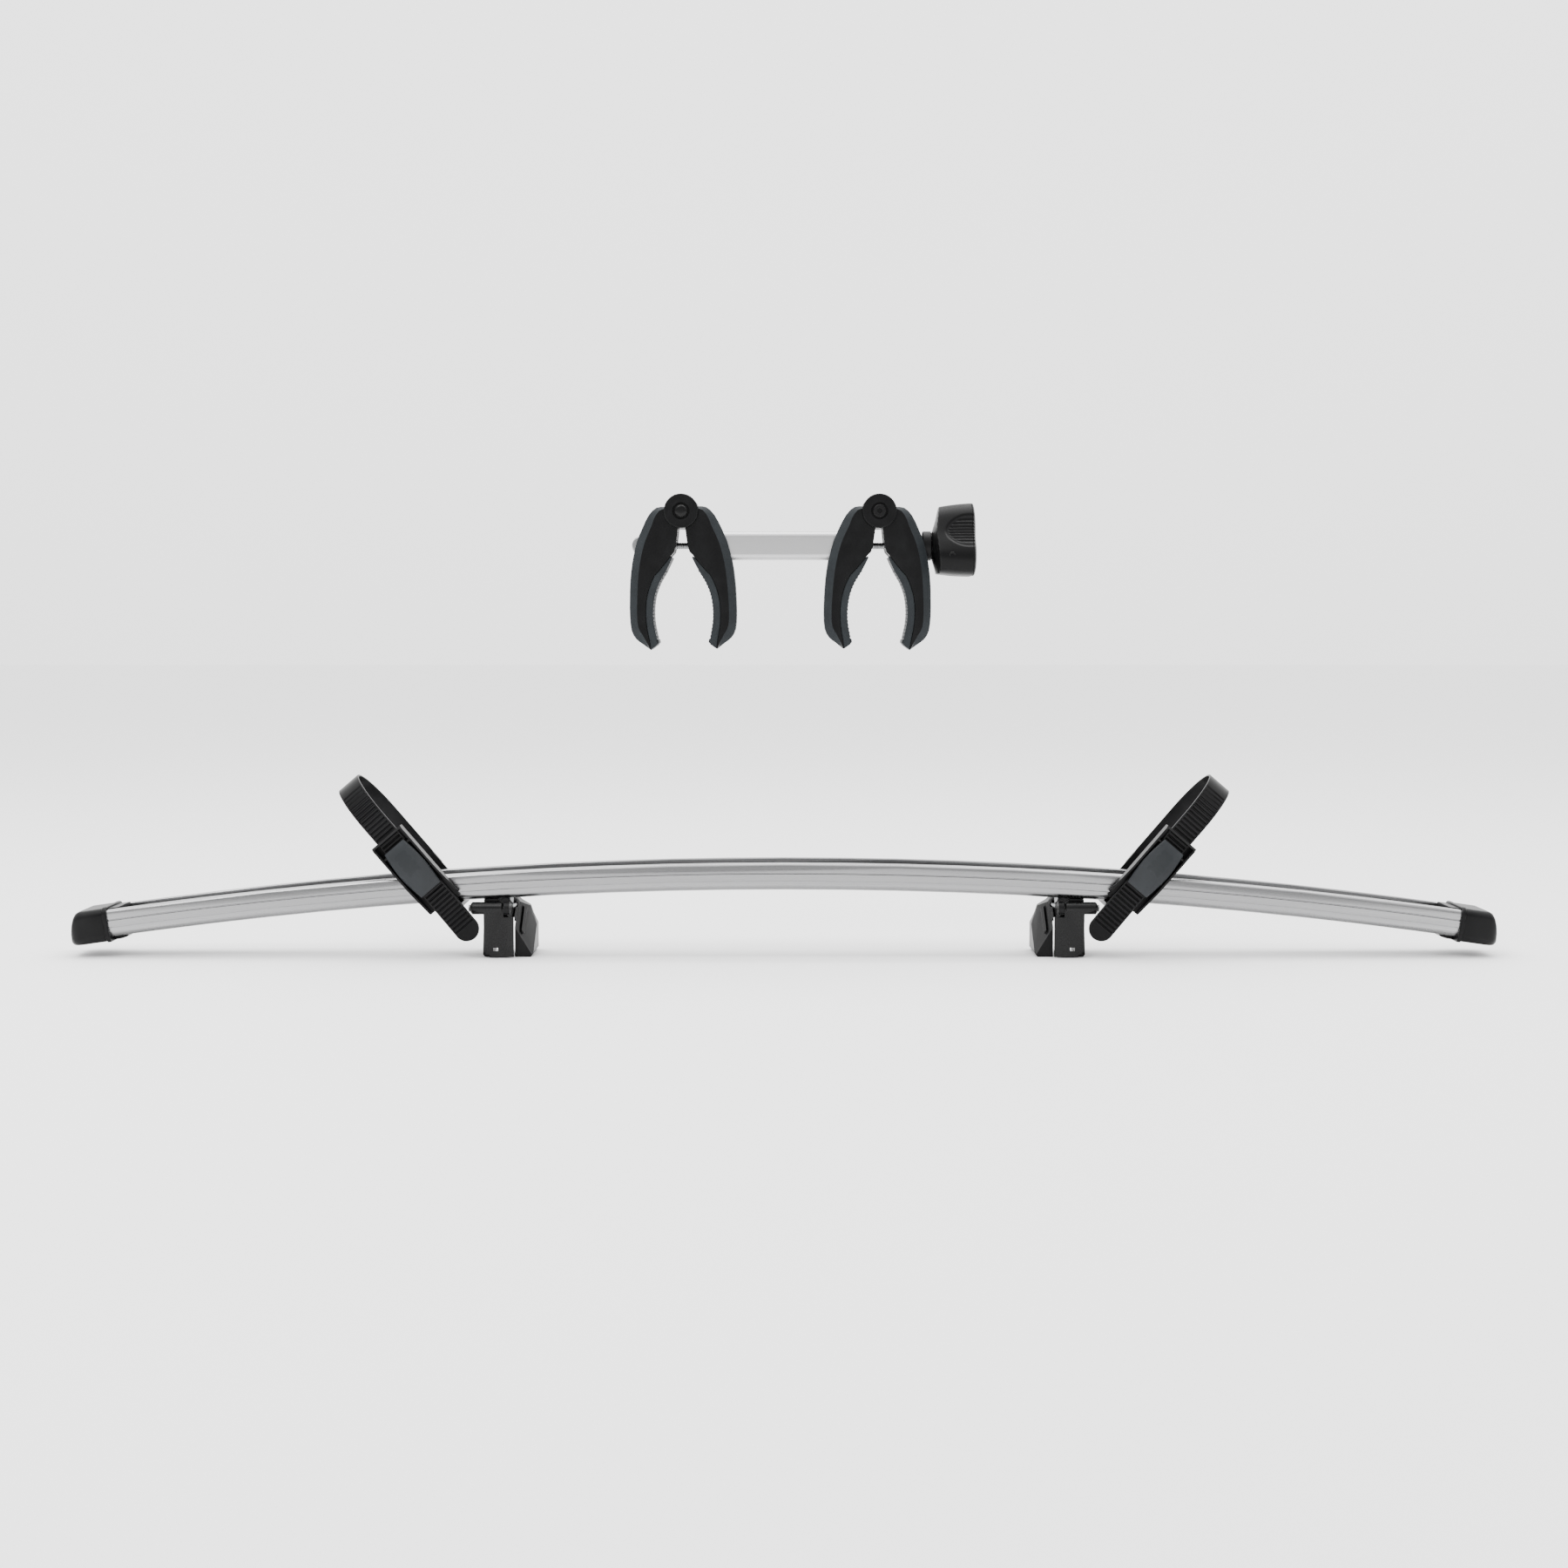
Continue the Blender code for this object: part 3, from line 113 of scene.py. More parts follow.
# %% One function for every finish
def finish(name, colour, worn, roughness, grain, bump, metallic=0.0, stretch=(1, 1, 1), blotch=40, **extra):
    """A surface with two colours, a grain of a given size per metre, and a bump in metres."""
    material = bpy.data.materials.new(name)
    material.use_nodes = True
    tree = material.node_tree
    surface = tree.nodes["Principled BSDF"]
    surface.inputs["Metallic"].default_value = metallic
    for key, value in extra.items():
        surface.inputs[key.replace("_", " ")].default_value = value
    place = node(tree, "ShaderNodeTexCoord")
    mapping = node(tree, "ShaderNodeMapping", Scale=stretch)
    tree.links.new(place.outputs["Object"], mapping.inputs["Vector"])
    fine = node(tree, "ShaderNodeTexNoise", Scale=grain, Detail=5.0, Roughness=0.6)
    broad = node(tree, "ShaderNodeTexNoise", Scale=blotch, Detail=3.0)
    for noise in (fine, broad):
        tree.links.new(mapping.outputs["Vector"], noise.inputs["Vector"])

    wear = node(tree, "ShaderNodeAttribute", attribute_name="wear")
    patchy = node(tree, "ShaderNodeMath", operation="MULTIPLY")
    tree.links.new(wear.outputs["Fac"], patchy.inputs[0])
    tree.links.new(broad.outputs["Fac"], patchy.inputs[1])
    tint = node(tree, "ShaderNodeMapRange", From_Min=0.3, From_Max=0.7, To_Min=0.9, To_Max=1.1)
    tree.links.new(broad.outputs["Fac"], tint.inputs["Value"])
    base = node(tree, "ShaderNodeMix", data_type="RGBA")
    base.inputs["A"].default_value = (*colour, 1)
    base.inputs["B"].default_value = (*worn, 1)
    tree.links.new(patchy.outputs["Value"], base.inputs["Factor"])
    shade = node(tree, "ShaderNodeVectorMath", operation="SCALE")
    tree.links.new(base.outputs["Result"], shade.inputs["Vector"])
    tree.links.new(tint.outputs["Result"], shade.inputs["Scale"])
    tree.links.new(shade.outputs["Vector"], surface.inputs["Base Color"])

    gloss = node(tree, "ShaderNodeMapRange", From_Min=0.3, From_Max=0.7)
    gloss.inputs["To Min"].default_value = roughness[0]
    gloss.inputs["To Max"].default_value = roughness[1]
    tree.links.new(fine.outputs["Fac"], gloss.inputs["Value"])
    tree.links.new(gloss.outputs["Result"], surface.inputs["Roughness"])
    relief = node(tree, "ShaderNodeBump", Strength=1.0, Distance=bump)
    tree.links.new(fine.outputs["Fac"], relief.inputs["Height"])
    tree.links.new(relief.outputs["Normal"], surface.inputs["Normal"])
    return material


# %% [markdown]
# Extruded aluminium carries fine lines drawn along its length by the die, so its noise is stretched
# some eighty times along X. Moulded plastic has an even, sandy skin instead, and rubber a duller one.
# Zinc plate is mottled, and powder coat is glossy with a slight orange peel. A real plastic bends
# light more than the index set here: the low value keeps black faces black at a shallow angle.

# %% Metal finishes
ALONG_X = (0.012, 1, 1)
STILL = 12
FINISHES = {
    "anodised_aluminium": finish(
        "anodised_aluminium", (0.27, 0.27, 0.275), (0.42, 0.42, 0.42),
        roughness=(0.25, 0.29), grain=700, bump=0.0015 * MM, metallic=1.0, stretch=ALONG_X, blotch=STILL,
    ),
    "tube_aluminium": finish(
        "tube_aluminium", (0.42, 0.42, 0.425), (0.55, 0.55, 0.55),
        roughness=(0.36, 0.42), grain=900, bump=0.0015 * MM, metallic=1.0, stretch=ALONG_X, blotch=STILL,
    ),
    "zinc_steel": finish(
        "zinc_steel", (0.24, 0.245, 0.25), (0.45, 0.45, 0.45),
        roughness=(0.22, 0.32), grain=900, bump=0.003 * MM, metallic=1.0, blotch=160,
    ),
    "brass": finish(
        "brass", (0.62, 0.46, 0.20), (0.78, 0.62, 0.32),
        roughness=(0.26, 0.40), grain=900, bump=0.003 * MM, metallic=1.0,
    ),
    "painted_steel": finish(
        "painted_steel", (0.0022, 0.0022, 0.0024), (0.016, 0.016, 0.016),
        roughness=(0.24, 0.32), grain=1400, bump=0.004 * MM, IOR=1.24, Coat_Weight=0.05, Coat_Roughness=0.12,
    ),
}
print(len(FINISHES), "metal finishes")

# %% Plastic and rubber finishes
FINISHES["black_plastic"] = finish(
    "black_plastic", (0.0035, 0.0035, 0.0037), (0.014, 0.014, 0.0145),
    roughness=(0.30, 0.40), grain=1500, bump=0.005 * MM, IOR=1.2,
)
FINISHES["jaw_plastic"] = finish(
    "jaw_plastic", (0.0028, 0.0028, 0.0030), (0.013, 0.0135, 0.014),
    roughness=(0.34, 0.44), grain=1300, bump=0.006 * MM, blotch=90, IOR=1.2,
)
FINISHES["pad_rubber"] = finish(
    "pad_rubber", (0.016, 0.0185, 0.0205), (0.030, 0.034, 0.037),
    roughness=(0.44, 0.56), grain=1700, bump=0.006 * MM, blotch=70, IOR=1.2,
)
FINISHES["strap_plastic"] = finish(
    "strap_plastic", (0.0022, 0.0022, 0.0024), (0.020, 0.020, 0.021),
    roughness=(0.28, 0.38), grain=1600, bump=0.005 * MM, IOR=1.24,
)
FINISHES["lever_plastic"] = finish(
    "lever_plastic", (0.014, 0.016, 0.018), (0.034, 0.037, 0.041),
    roughness=(0.30, 0.40), grain=1500, bump=0.005 * MM, IOR=1.28,
)
print(len(FINISHES), "finishes")

# %% [markdown]
# ## Corners that catch the light
#
# No moulded or machined edge is perfectly sharp, and the thin highlight on a rounded corner is what
# makes a render look solid. The frame's meshes arrive as triangles, so each copy is first welded and
# its flat areas are joined into single faces. A Bevel modifier then rounds what is left, and weighted
# normals keep the flats flat. The modifiers are applied, so that wear can be measured on the result.

# %% Apply the modifiers and store the wear
WEAR_FULL = 0.22


def settle(obj):
    """Applies an object's modifiers and stores how far each vertex stands out from its neighbours."""
    graph = bpy.context.evaluated_depsgraph_get()
    mesh = bpy.data.meshes.new_from_object(obj.evaluated_get(graph))
    obj.modifiers.clear()
    obj.data = mesh
    mesh.name = obj.name
    wear = mesh.attributes.new("wear", "FLOAT", "POINT")
    lean = [0.0] * len(mesh.vertices)
    count = [0] * len(mesh.vertices)
    for edge in mesh.edges:
        a, b = [mesh.vertices[i] for i in edge.vertices]
        along = (b.co - a.co).normalized()
        for vertex, toward in ((a, along), (b, -along)):
            lean[vertex.index] -= vertex.normal.dot(toward)
            count[vertex.index] += 1
    for i, total in enumerate(lean):
        wear.data[i].value = min(1.0, max(0.0, total / max(1, count[i]) / WEAR_FULL))
    return obj


def place_in_scene(name, bm):
    """An object made from a bmesh."""
    mesh = bpy.data.meshes.new(name)
    bm.to_mesh(mesh)
    bm.free()
    mesh.shade_smooth()
    obj = bpy.data.objects.new(name, mesh)
    bpy.context.scene.collection.objects.link(obj)
    return obj


# %% A refined copy of a frame piece
SAME_POINT = 0.02 * MM
FLAT = math.radians(0.6)


def refined(name, round_off, segments=2, corner=28):
    """A copy of a frame piece with its corners rounded, which is shown in its place."""
    bm = bmesh.new()
    bm.from_mesh(frame["nodes"][name].data)
    bmesh.ops.remove_doubles(bm, verts=bm.verts, dist=SAME_POINT)
    bmesh.ops.dissolve_limit(bm, angle_limit=FLAT, verts=bm.verts, edges=bm.edges)
    obj = place_in_scene(f"{name}_finished", bm)
    bevel = obj.modifiers.new("round", "BEVEL")
    bevel.width = round_off
    bevel.segments = segments
    bevel.limit_method = "ANGLE"
    bevel.angle_limit = math.radians(corner)
    bevel.miter_outer = "MITER_ARC"
    obj.modifiers.new("normals", "WEIGHTED_NORMAL")
    settle(obj)
    return dress(obj, name)


def dress(obj, *names):
    """Gives a piece the finish and the body of the first frame piece that it stands for."""
    obj.data.materials.clear()
    obj.data.materials.append(FINISHES[slot_of[names[0]]])
    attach(obj, body_of[names[0]])
    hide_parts(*names)
    return obj


# %% [markdown]
# ## Rail and small metal
#
# The rail is one extrusion bent to a long arc: a rounded channel with a bead rolled along each rim and
# a fine groove down each side. Its section is already in the frame, so it only needs tight corners
# and the drawn finish. Pins, bolts and nuts get corners in keeping with their size.

# %% Rail, arm tube and fasteners
refined("rail", 0.25 * MM, corner=24)
refined("arm_tube", 0.3 * MM, corner=35)
for side in SIDES:
    for name in ("rail_bolt", "hook_pin", "anchor_pin", "pivot_bolt"):
        refined(f"{name}_{side}", 0.25 * MM)
    for name in ("rail_nut", "pivot_nut", "buckle_pin", "pawl_pin"):
        refined(f"{name}_{side}", 0.15 * MM, corner=40)
refined("barrel_nut", 0.25 * MM)
refined("knob_insert", 0.2 * MM, corner=40)
print("metal pieces refined")

# %% [markdown]
# ## Moulded feet and end caps
#
# The feet, brackets and caps are injection moulded, and every corner of a moulding is rounded so that
# the plastic flows and the part leaves its mould. They get a wider round-off than metal does. The
# hook plate is pressed steel, bent while flat, so its edges stay tighter than the plastic beside it.

# %% Feet, caps, brackets and discs
for side in SIDES:
    refined(f"foot_body_{side}", 0.8 * MM, 3)
    refined(f"foot_hook_{side}", 0.45 * MM, 3, 35)
    refined(f"end_cap_{side}", 0.5 * MM, 3, 35)
    refined(f"strap_base_{side}", 0.5 * MM, 3)
    refined(f"buckle_frame_{side}", 0.5 * MM, 3)
    refined(f"buckle_pawl_{side}", 0.3 * MM)
    refined(f"front_disc_{side}", 0.35 * MM, 3)
    refined(f"back_disc_{side}", 0.35 * MM, 3)
refined("pressure_collar", 0.4 * MM, 3)
print("mouldings refined")

# %% [markdown]
# ## Wheel straps
#
# Each strap is one ribbon that leans outwards over the wheel. Its outer face carries a row of small
# teeth for the ratchet, except near the top and at the rounded tail. A ribbon like this could be a
# curve with a flat section, but teeth need real faces across it. So the ribbon is a chain of
# sections along its route, and the height of the outer face follows a rounded wave.

# %% The strap's own frame, from the buckle's two hinge pins
PAWL_PIN_UP = -3 * MM


def strap_place(side):
    """X across the ribbon, Y into the rail's depth and Z up along the strap."""
    lever, pawl = joint_place(f"{side}_lever_lift"), joint_place(f"{side}_pawl_lift")
    up = lever - pawl
    up.y = 0
    up.normalize()
    across = Vector((0, 1, 0)).cross(up)
    middle = pawl - up * PAWL_PIN_UP
    turn = Matrix((across, (0, 1, 0), up)).transposed().to_4x4()
    return Matrix.Translation((middle.x, MIDDLE_Y, middle.z)) @ turn


strap_up = strap_place("left").to_3x3() @ Vector((0, 0, 1))
print("the straps lean outwards by", round(math.degrees(math.acos(strap_up.z)), 1), "degrees")

# %% The ribbon's route
STRAP = {
    "width": 24 * MM, "thick": 2 * MM, "front": 34.2 * MM, "back": 32.4 * MM,
    "top": 106.5 * MM, "arch": 46 * MM, "end": -8 * MM, "tail": -84 * MM,
}
TAIL_START = -34 * MM
TAIL_FLARE = 3.7 * MM
ARCH_STEPS = 48
TAIL_STEPS = 8
SECTION_STEP = 0.55 * MM


def ribbon_route():
    """The ribbon's middle line as depth and height, from its anchor over the top to its tail."""
    spring = STRAP["top"] - STRAP["arch"]
    centre = (STRAP["back"] - STRAP["front"]) / 2
    half = (STRAP["back"] + STRAP["front"]) / 2
    route = [Vector((STRAP["back"], STRAP["end"])), Vector((STRAP["back"], spring * 0.45))]
    for i in range(ARCH_STEPS + 1):
        angle = math.pi * i / ARCH_STEPS
        route.append(Vector((centre + half * math.cos(angle), spring + STRAP["arch"] * math.sin(angle))))
    route.append(Vector((-STRAP["front"], TAIL_START)))
    for i in range(1, TAIL_STEPS + 1):
        share = i / TAIL_STEPS
        lean_out = TAIL_FLARE * share ** 1.6
        route.append(Vector((-STRAP["front"] - lean_out, TAIL_START + (STRAP["tail"] - TAIL_START) * share)))
    return route


def spaced(route, step):
    """The same route as points an even step apart, with the distance of each."""
    lengths = [0.0]
    for a, b in zip(route, route[1:]):
        lengths.append(lengths[-1] + (b - a).length)
    count = round(lengths[-1] / step)
    points = []
    j = 0
    for i in range(count + 1):
        distance = lengths[-1] * i / count
        while j < len(route) - 2 and lengths[j + 1] < distance:
            j += 1
        share = (distance - lengths[j]) / (lengths[j + 1] - lengths[j])
        points.append((distance, route[j].lerp(route[j + 1], share)))
    return points, lengths[-1]


points, ribbon_length = spaced(ribbon_route(), SECTION_STEP)
print("each ribbon is", round(ribbon_length / MM), "mm long and has", len(points), "sections")

# %% Teeth and width along the ribbon
TOOTH_PITCH = 4.4 * MM
TOOTH_DEPTH = 1.1 * MM
GAP_SHARE = 0.40
GAP_SLOPE = 0.12
SMOOTH_START = 40 * MM
SMOOTH_APEX = 9 * MM
SMOOTH_TAIL = 13 * MM


def tooth_cut(distance, height):
    """How far the outer face is sunk there: a gap between two teeth, or nothing on smooth stretches."""
    near_end = distance < SMOOTH_START or distance > ribbon_length - SMOOTH_TAIL
    if near_end or height > STRAP["top"] - SMOOTH_APEX:
        return 0.0
    phase = (distance / TOOTH_PITCH) % 1.0
    edge = abs(phase - 0.5) - GAP_SHARE / 2
    return TOOTH_DEPTH * min(1.0, max(0.0, 0.5 - edge / GAP_SLOPE))


def ribbon_half(distance):
    """Half the ribbon's width: full, with a round end at the tail."""
    left = ribbon_length - distance
    round_end = STRAP["width"] / 2
    if left >= round_end:
        return round_end
    return max(1.0 * MM, math.sqrt(max(0.0, round_end ** 2 - (round_end - left) ** 2)))


print("teeth from", SMOOTH_START / MM, "mm on,", TOOTH_PITCH / MM, "mm apart")

# %% One section of the ribbon
MARGIN = 1.3 * MM
EDGE_SOFT = 0.35 * MM


def ribbon_section(point, outward, half, cut):
    """Twelve corners: a flat inner face, softened edges and an outer face with a smooth margin."""
    thick = STRAP["thick"] / 2
    margin = min(MARGIN, half * 0.3)
    soft = EDGE_SOFT
    corners = (
        (-half + soft, -thick), (half - soft, -thick), (half, -thick + soft), (half, thick - soft),
        (half - soft, thick), (half - margin, thick), (half - margin - soft, thick - cut),
        (-half + margin + soft, thick - cut), (-half + margin, thick), (-half + soft, thick),
        (-half, thick - soft), (-half, -thick + soft),
    )
    section = []
    for across, out in corners:
        spot = point + outward * out
        section.append(Vector((across, spot.x, spot.y)))
    return section


# %% A loft and the toothed ribbon
def loft(rings):
    """A closed skin through rings that all have the same number of points."""
    bm = bmesh.new()
    rows = [[bm.verts.new(point) for point in ring] for ring in rings]
    for row, following in zip(rows, rows[1:]):
        for i in range(len(row)):
            j = (i + 1) % len(row)
            bm.faces.new((row[i], row[j], following[j], following[i]))
    bm.faces.new(reversed(rows[0]))
    bm.faces.new(rows[-1])
    if bm.calc_volume(signed=True) < 0:
        bmesh.ops.reverse_faces(bm, faces=bm.faces)
    return bm


def make_ribbon(side):
    """The ribbon of one strap: a section at every point of its route, set into the strap's place."""
    rings = []
    for i, (distance, point) in enumerate(points):
        ahead = points[min(i + 1, len(points) - 1)][1]
        behind = points[max(i - 1, 0)][1]
        heading = (ahead - behind).normalized()
        outward = Vector((heading.y, -heading.x))
        cut = tooth_cut(distance, point.y)
        rings.append(ribbon_section(point, outward, ribbon_half(distance), cut))
    bm = loft(rings)
    bm.transform(strap_place(side))
    obj = place_in_scene(f"strap_{side}_toothed", bm)
    obj.data.set_sharp_from_angle(angle=math.radians(38))
    return dress(settle(obj), f"strap_{side}")


for side in SIDES:
    ribbon = make_ribbon(side)
    print(ribbon.name, len(ribbon.data.polygons), "faces")

# %% [markdown]
# ## Buckle levers
#
# The lever is the grey plate that a thumb lifts to let the strap go. It is crowned across and along,
# and has a round dimple near its lower end. A plate like this is easiest as a grid of points whose
# depth comes from a formula, closed by a second grid behind it. The eye that the pin runs through
# comes from the frame's own lever.

# %% A crowned plate with a thumb dimple
LEVER = {"top": 31 * MM, "bottom": -22 * MM, "half_end": 11.75 * MM, "half_middle": 14.2 * MM}
LEVER_FACE = 4.2 * MM
LEVER_BACK = 2.8 * MM
LEVER_CROWN = 1.5 * MM
LEVER_ROLL = 0.9 * MM
LEVER_CORNER = 1.8 * MM
CORNER_FROM = 0.9
DIMPLE = {"up": -8 * MM, "radius": 7.4 * MM, "depth": 1.9 * MM}
LEVER_STEPS = (40, 26)


def lever_front(up, across, half, share):
    """How far the lever's face stands in front of its pin."""
    crown = LEVER_CROWN * math.sin(math.pi * (0.15 + 0.85 * share))
    roll = LEVER_ROLL * (abs(across) / half) ** 6
    ends = LEVER_ROLL * abs(2 * share - 1) ** 14
    away = math.hypot(across, up - DIMPLE["up"]) / DIMPLE["radius"]
    dimple = DIMPLE["depth"] * max(0.0, 1 - away ** 2) ** 0.8
    return LEVER_FACE + crown - roll - ends - dimple


def lever_half(share):
    """Half the plate's width: widest at its middle, with corners cut in a curve at both ends."""
    half = LEVER["half_end"] + (LEVER["half_middle"] - LEVER["half_end"]) * math.sin(math.pi * share)
    corner = LEVER_CORNER * max(0.0, abs(2 * share - 1) - CORNER_FROM) / (1 - CORNER_FROM)
    return half - corner ** 2 / LEVER_CORNER


# %% The lever of each buckle
def make_lever(side):
    """The crowned plate, with the frame's own lever behind it as the eye for the pin."""
    place = strap_place(side)
    pin = place.inverted() @ joint_place(f"{side}_lever_lift")
    rings = []
    rows, columns = LEVER_STEPS
    for i in range(rows + 1):
        share = i / rows
        up = LEVER["top"] + (LEVER["bottom"] - LEVER["top"]) * share
        half = lever_half(share)
        front = []
        for j in range(columns + 1):
            across = -half + 2 * half * j / columns
            face = lever_front(up, across, half, share)
            front.append(Vector((across, pin.y - face, up)))
        back = [Vector((point.x, pin.y - LEVER_BACK, point.z)) for point in reversed(front)]
        rings.append(front + back)
    bm = loft(rings)
    bm.transform(place)
    plate = place_in_scene(f"lever_plate_{side}", bm)
    plate.data.set_sharp_from_angle(angle=math.radians(50))
    plate.modifiers.new("normals", "WEIGHTED_NORMAL").keep_sharp = True
    eye = refined(f"buckle_lever_{side}", 0.3 * MM)
    eye.name = f"lever_eye_{side}"
    return dress(settle(plate), f"buckle_lever_{side}")


for side in SIDES:
    print(make_lever(side).name)

# %% [markdown]
# ## Claws
#
# A claw jaw has a dark glass-filled core, a softer blue-grey skin moulded along its back edge, and a
# lining of the same soft material where it grips a bicycle's frame tube. The skin is part of the
# same moulding, so it is made by giving the faces along the sloping back edge their own material.

# %% Jaws with a soft back edge
TIP_BELOW = -121 * MM
SLOPES = 0.3
CLEAR_OF_PIVOT = 14 * MM
TOP_FROM = 15 * MM
POCKET = {"half": 15 * MM, "reach": 40 * MM, "bottom": -60 * MM}


def has_soft_skin(face, pivot, outward):
    """Whether a face of a jaw is on its back edge, over its shoulder or at its tip."""
    spot = face.center - pivot
    reach = spot.x * outward
    in_pocket = abs(spot.y) < POCKET["half"] and reach < POCKET["reach"] and spot.z > POCKET["bottom"]
    turned_out = face.normal.x * outward > SLOPES
    over_top = face.normal.z > SLOPES and reach > TOP_FROM
    on_back = (turned_out or over_top) and reach > CLEAR_OF_PIVOT and not in_pocket
    return on_back or spot.z < TIP_BELOW


def colour_back_edge(obj, pivot, outward):
    """Gives the soft finish to a jaw's back edge, where outward is 1 or -1 along X."""
    obj.data.materials.append(FINISHES["pad_rubber"])
    soft = [face for face in obj.data.polygons if has_soft_skin(face, pivot, outward)]
    for face in soft:
        face.material_index = 1
    return len(soft)


# %% The four jaws
PIVOTS = {side: joint_place(f"{side}_jaw_swing") for side in SIDES}
AWAY = {"left": -1, "right": 1}
for side in SIDES:
    for name, outward in ((f"outer_jaw_{side}", AWAY[side]), (f"inner_jaw_{side}", -AWAY[side])):
        jaw = refined(name, 0.7 * MM, 3, 24)
        print(name, colour_back_edge(jaw, PIVOTS[side], outward), "faces in the soft finish")

# %% [markdown]
# The lining is ribbed across, so that a painted tube can't slide in it. The ribs follow the lining's
# curve. Rays cast at the frame's lining, one every few millimetres of height, find the surface and
# its direction, and each hit gets a short rounded bar.

# %% One rib
RIB_HEIGHT = 0.7 * MM
RIB_HALF_WIDTH = 1.1 * MM
RIB_HALF_LENGTH = 13.5 * MM
RIB_TAPER = ((-1, 0.35), (-0.94, 0.8), (-0.86, 1), (0.86, 1), (0.94, 0.8), (1, 0.35))
RIB_ROUND = 7


def rib_bar(bm, spot, normal):
    """Adds one half-round bar with tapered ends, lying across the lining."""
    along = normal.cross(Vector((0, 1, 0)))
    rings = []
    for y, size in RIB_TAPER:
        ring = []
        for i in range(RIB_ROUND + 1):
            angle = math.pi * i / RIB_ROUND
            rise = RIB_HEIGHT * size * math.sin(angle)
            side_step = RIB_HALF_WIDTH * size * math.cos(angle)
            ring.append(spot + along * side_step + normal * rise + Vector((0, y * RIB_HALF_LENGTH, 0)))
        rings.append(ring)
    bar = loft(rings)
    mesh = bpy.data.meshes.new("bar")
    bar.to_mesh(mesh)
    bar.free()
    bm.from_mesh(mesh)
    bpy.data.meshes.remove(mesh)


# %% A row of ribs on each lining
RIB_PITCH = 3.6 * MM
RIBS_TOP = 14 * MM
RIBS_BOTTOM = 10 * MM
RIB_SUNK = 0.1 * MM
RAY_START = 5 * MM
LEAST_SLOPE = 0.6


def make_ribs(name, pivot, outward):
    """A row of ribs on the gripping face of one lining."""
    bm = bmesh.new()
    bm.from_mesh(frame["nodes"][name].data)
    tree = BVHTree.FromBMesh(bm)
    bm.free()
    low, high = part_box(name)
    ribs = bmesh.new()
    height = high.z - RIBS_TOP
    count = 0
    while height > low.z + RIBS_BOTTOM:
        start = Vector((pivot.x - outward * RAY_START, pivot.y, height))
        spot, normal, _, _ = tree.ray_cast(start, Vector((outward, 0, 0)))
        slope = 1.0
        if spot is not None:
            rib_bar(ribs, spot - normal * RIB_SUNK, normal)
            slope = abs(normal.x)
            count += 1
        height -= RIB_PITCH * max(slope, LEAST_SLOPE)
    obj = place_in_scene(f"{name}_ribs", ribs)
    settle(obj)
    obj.data.materials.append(FINISHES["pad_rubber"])
    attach(obj, body_of[name])
    return count


for side in SIDES:
    for name, outward in ((f"outer_pad_{side}", AWAY[side]), (f"inner_pad_{side}", -AWAY[side])):
        refined(name, 0.5 * MM, 3, 24)
        print(name, make_ribs(name, PIVOTS[side], outward), "ribs")

# %% [markdown]
# ## The knob
#
# The knob has three lobes for the fingers, and between them scooped grips with fine ribs. One formula
# gives its radius for any angle and any distance along its axis, so its whole skin can be a dense
# ring-by-ring loft. A lighter way would be a normal map, but ribs this deep show on the outline.

# %% Sizes of the knob, from the frame
knob_low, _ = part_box("knob_body")
_, knob_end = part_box("knob_cap")
AXIS = joint_place("knob_turn")
KNOB_START = knob_low.x
KNOB_LENGTH = knob_end.x - knob_low.x
KNOB_MEAN = 33.4 * MM
KNOB_LOBE = 6.4 * MM
KNOB_WAIST = 3.4 * MM
SEAM = 0.9
print("knob", round(KNOB_LENGTH / MM, 1), "mm long")

# %% The scooped grips
LOBES = 3
GRIP_MIDDLE = math.radians(30)
GRIP_SPREAD = math.radians(33)
GRIP_START = 0.26
GRIP_WIDEST = 0.80
GRIP_DEPTH = 0.9 * MM
GRIP_RIBS = 8
RIBBED_SHARE = 0.8


def ramp(value, width):
    """Rises from 0 to 1 while the value goes from 0 to the width."""
    return min(1.0, max(0.0, value / width))


def grip_depth(angle, share):
    """How far a scooped grip and its ribs sink the skin there."""
    sector = 2 * math.pi / LOBES
    turn = (angle - GRIP_MIDDLE + sector / 2) % sector - sector / 2
    reach = GRIP_WIDEST - GRIP_START
    oval = (turn / GRIP_SPREAD) ** 2 + (min(0.0, share - GRIP_WIDEST) / reach) ** 2
    inside = ramp(1 - oval, 0.16)
    scoop = inside * inside * (3 - 2 * inside)
    ribs = 0.5 - 0.5 * math.cos(math.pi * turn / (RIBBED_SHARE * GRIP_SPREAD) * GRIP_RIBS)
    return scoop * GRIP_DEPTH * (1 + ramp(0.72 - oval, 0.12) * ribs)


# %% The lobes and the back
BACK_CONE = ((0.0, 12.8), (3.4, 23.6), (6.6, 37.6), (9.0, 60.0))
BACK_SOFT = 0.8 * MM


def cone_limit(depth):
    """The largest radius that the knob's back may have, so that the open jaw clears it."""
    for (d0, r0), (d1, r1) in zip(BACK_CONE, BACK_CONE[1:]):
        if depth <= d1 * MM:
            return (r0 + (r1 - r0) * (depth / MM - d0) / (d1 - d0)) * MM
    return 1.0


def knob_radius(angle, share):
    """The lobed radius, a little smaller toward the back of the knob."""
    lobes = math.cos(LOBES * (angle - math.pi / 2))
    mean = KNOB_MEAN - KNOB_WAIST * (1 - share) ** 2
    return mean + KNOB_LOBE * (lobes + 0.12 * lobes * lobes) * (0.8 + 0.2 * share)


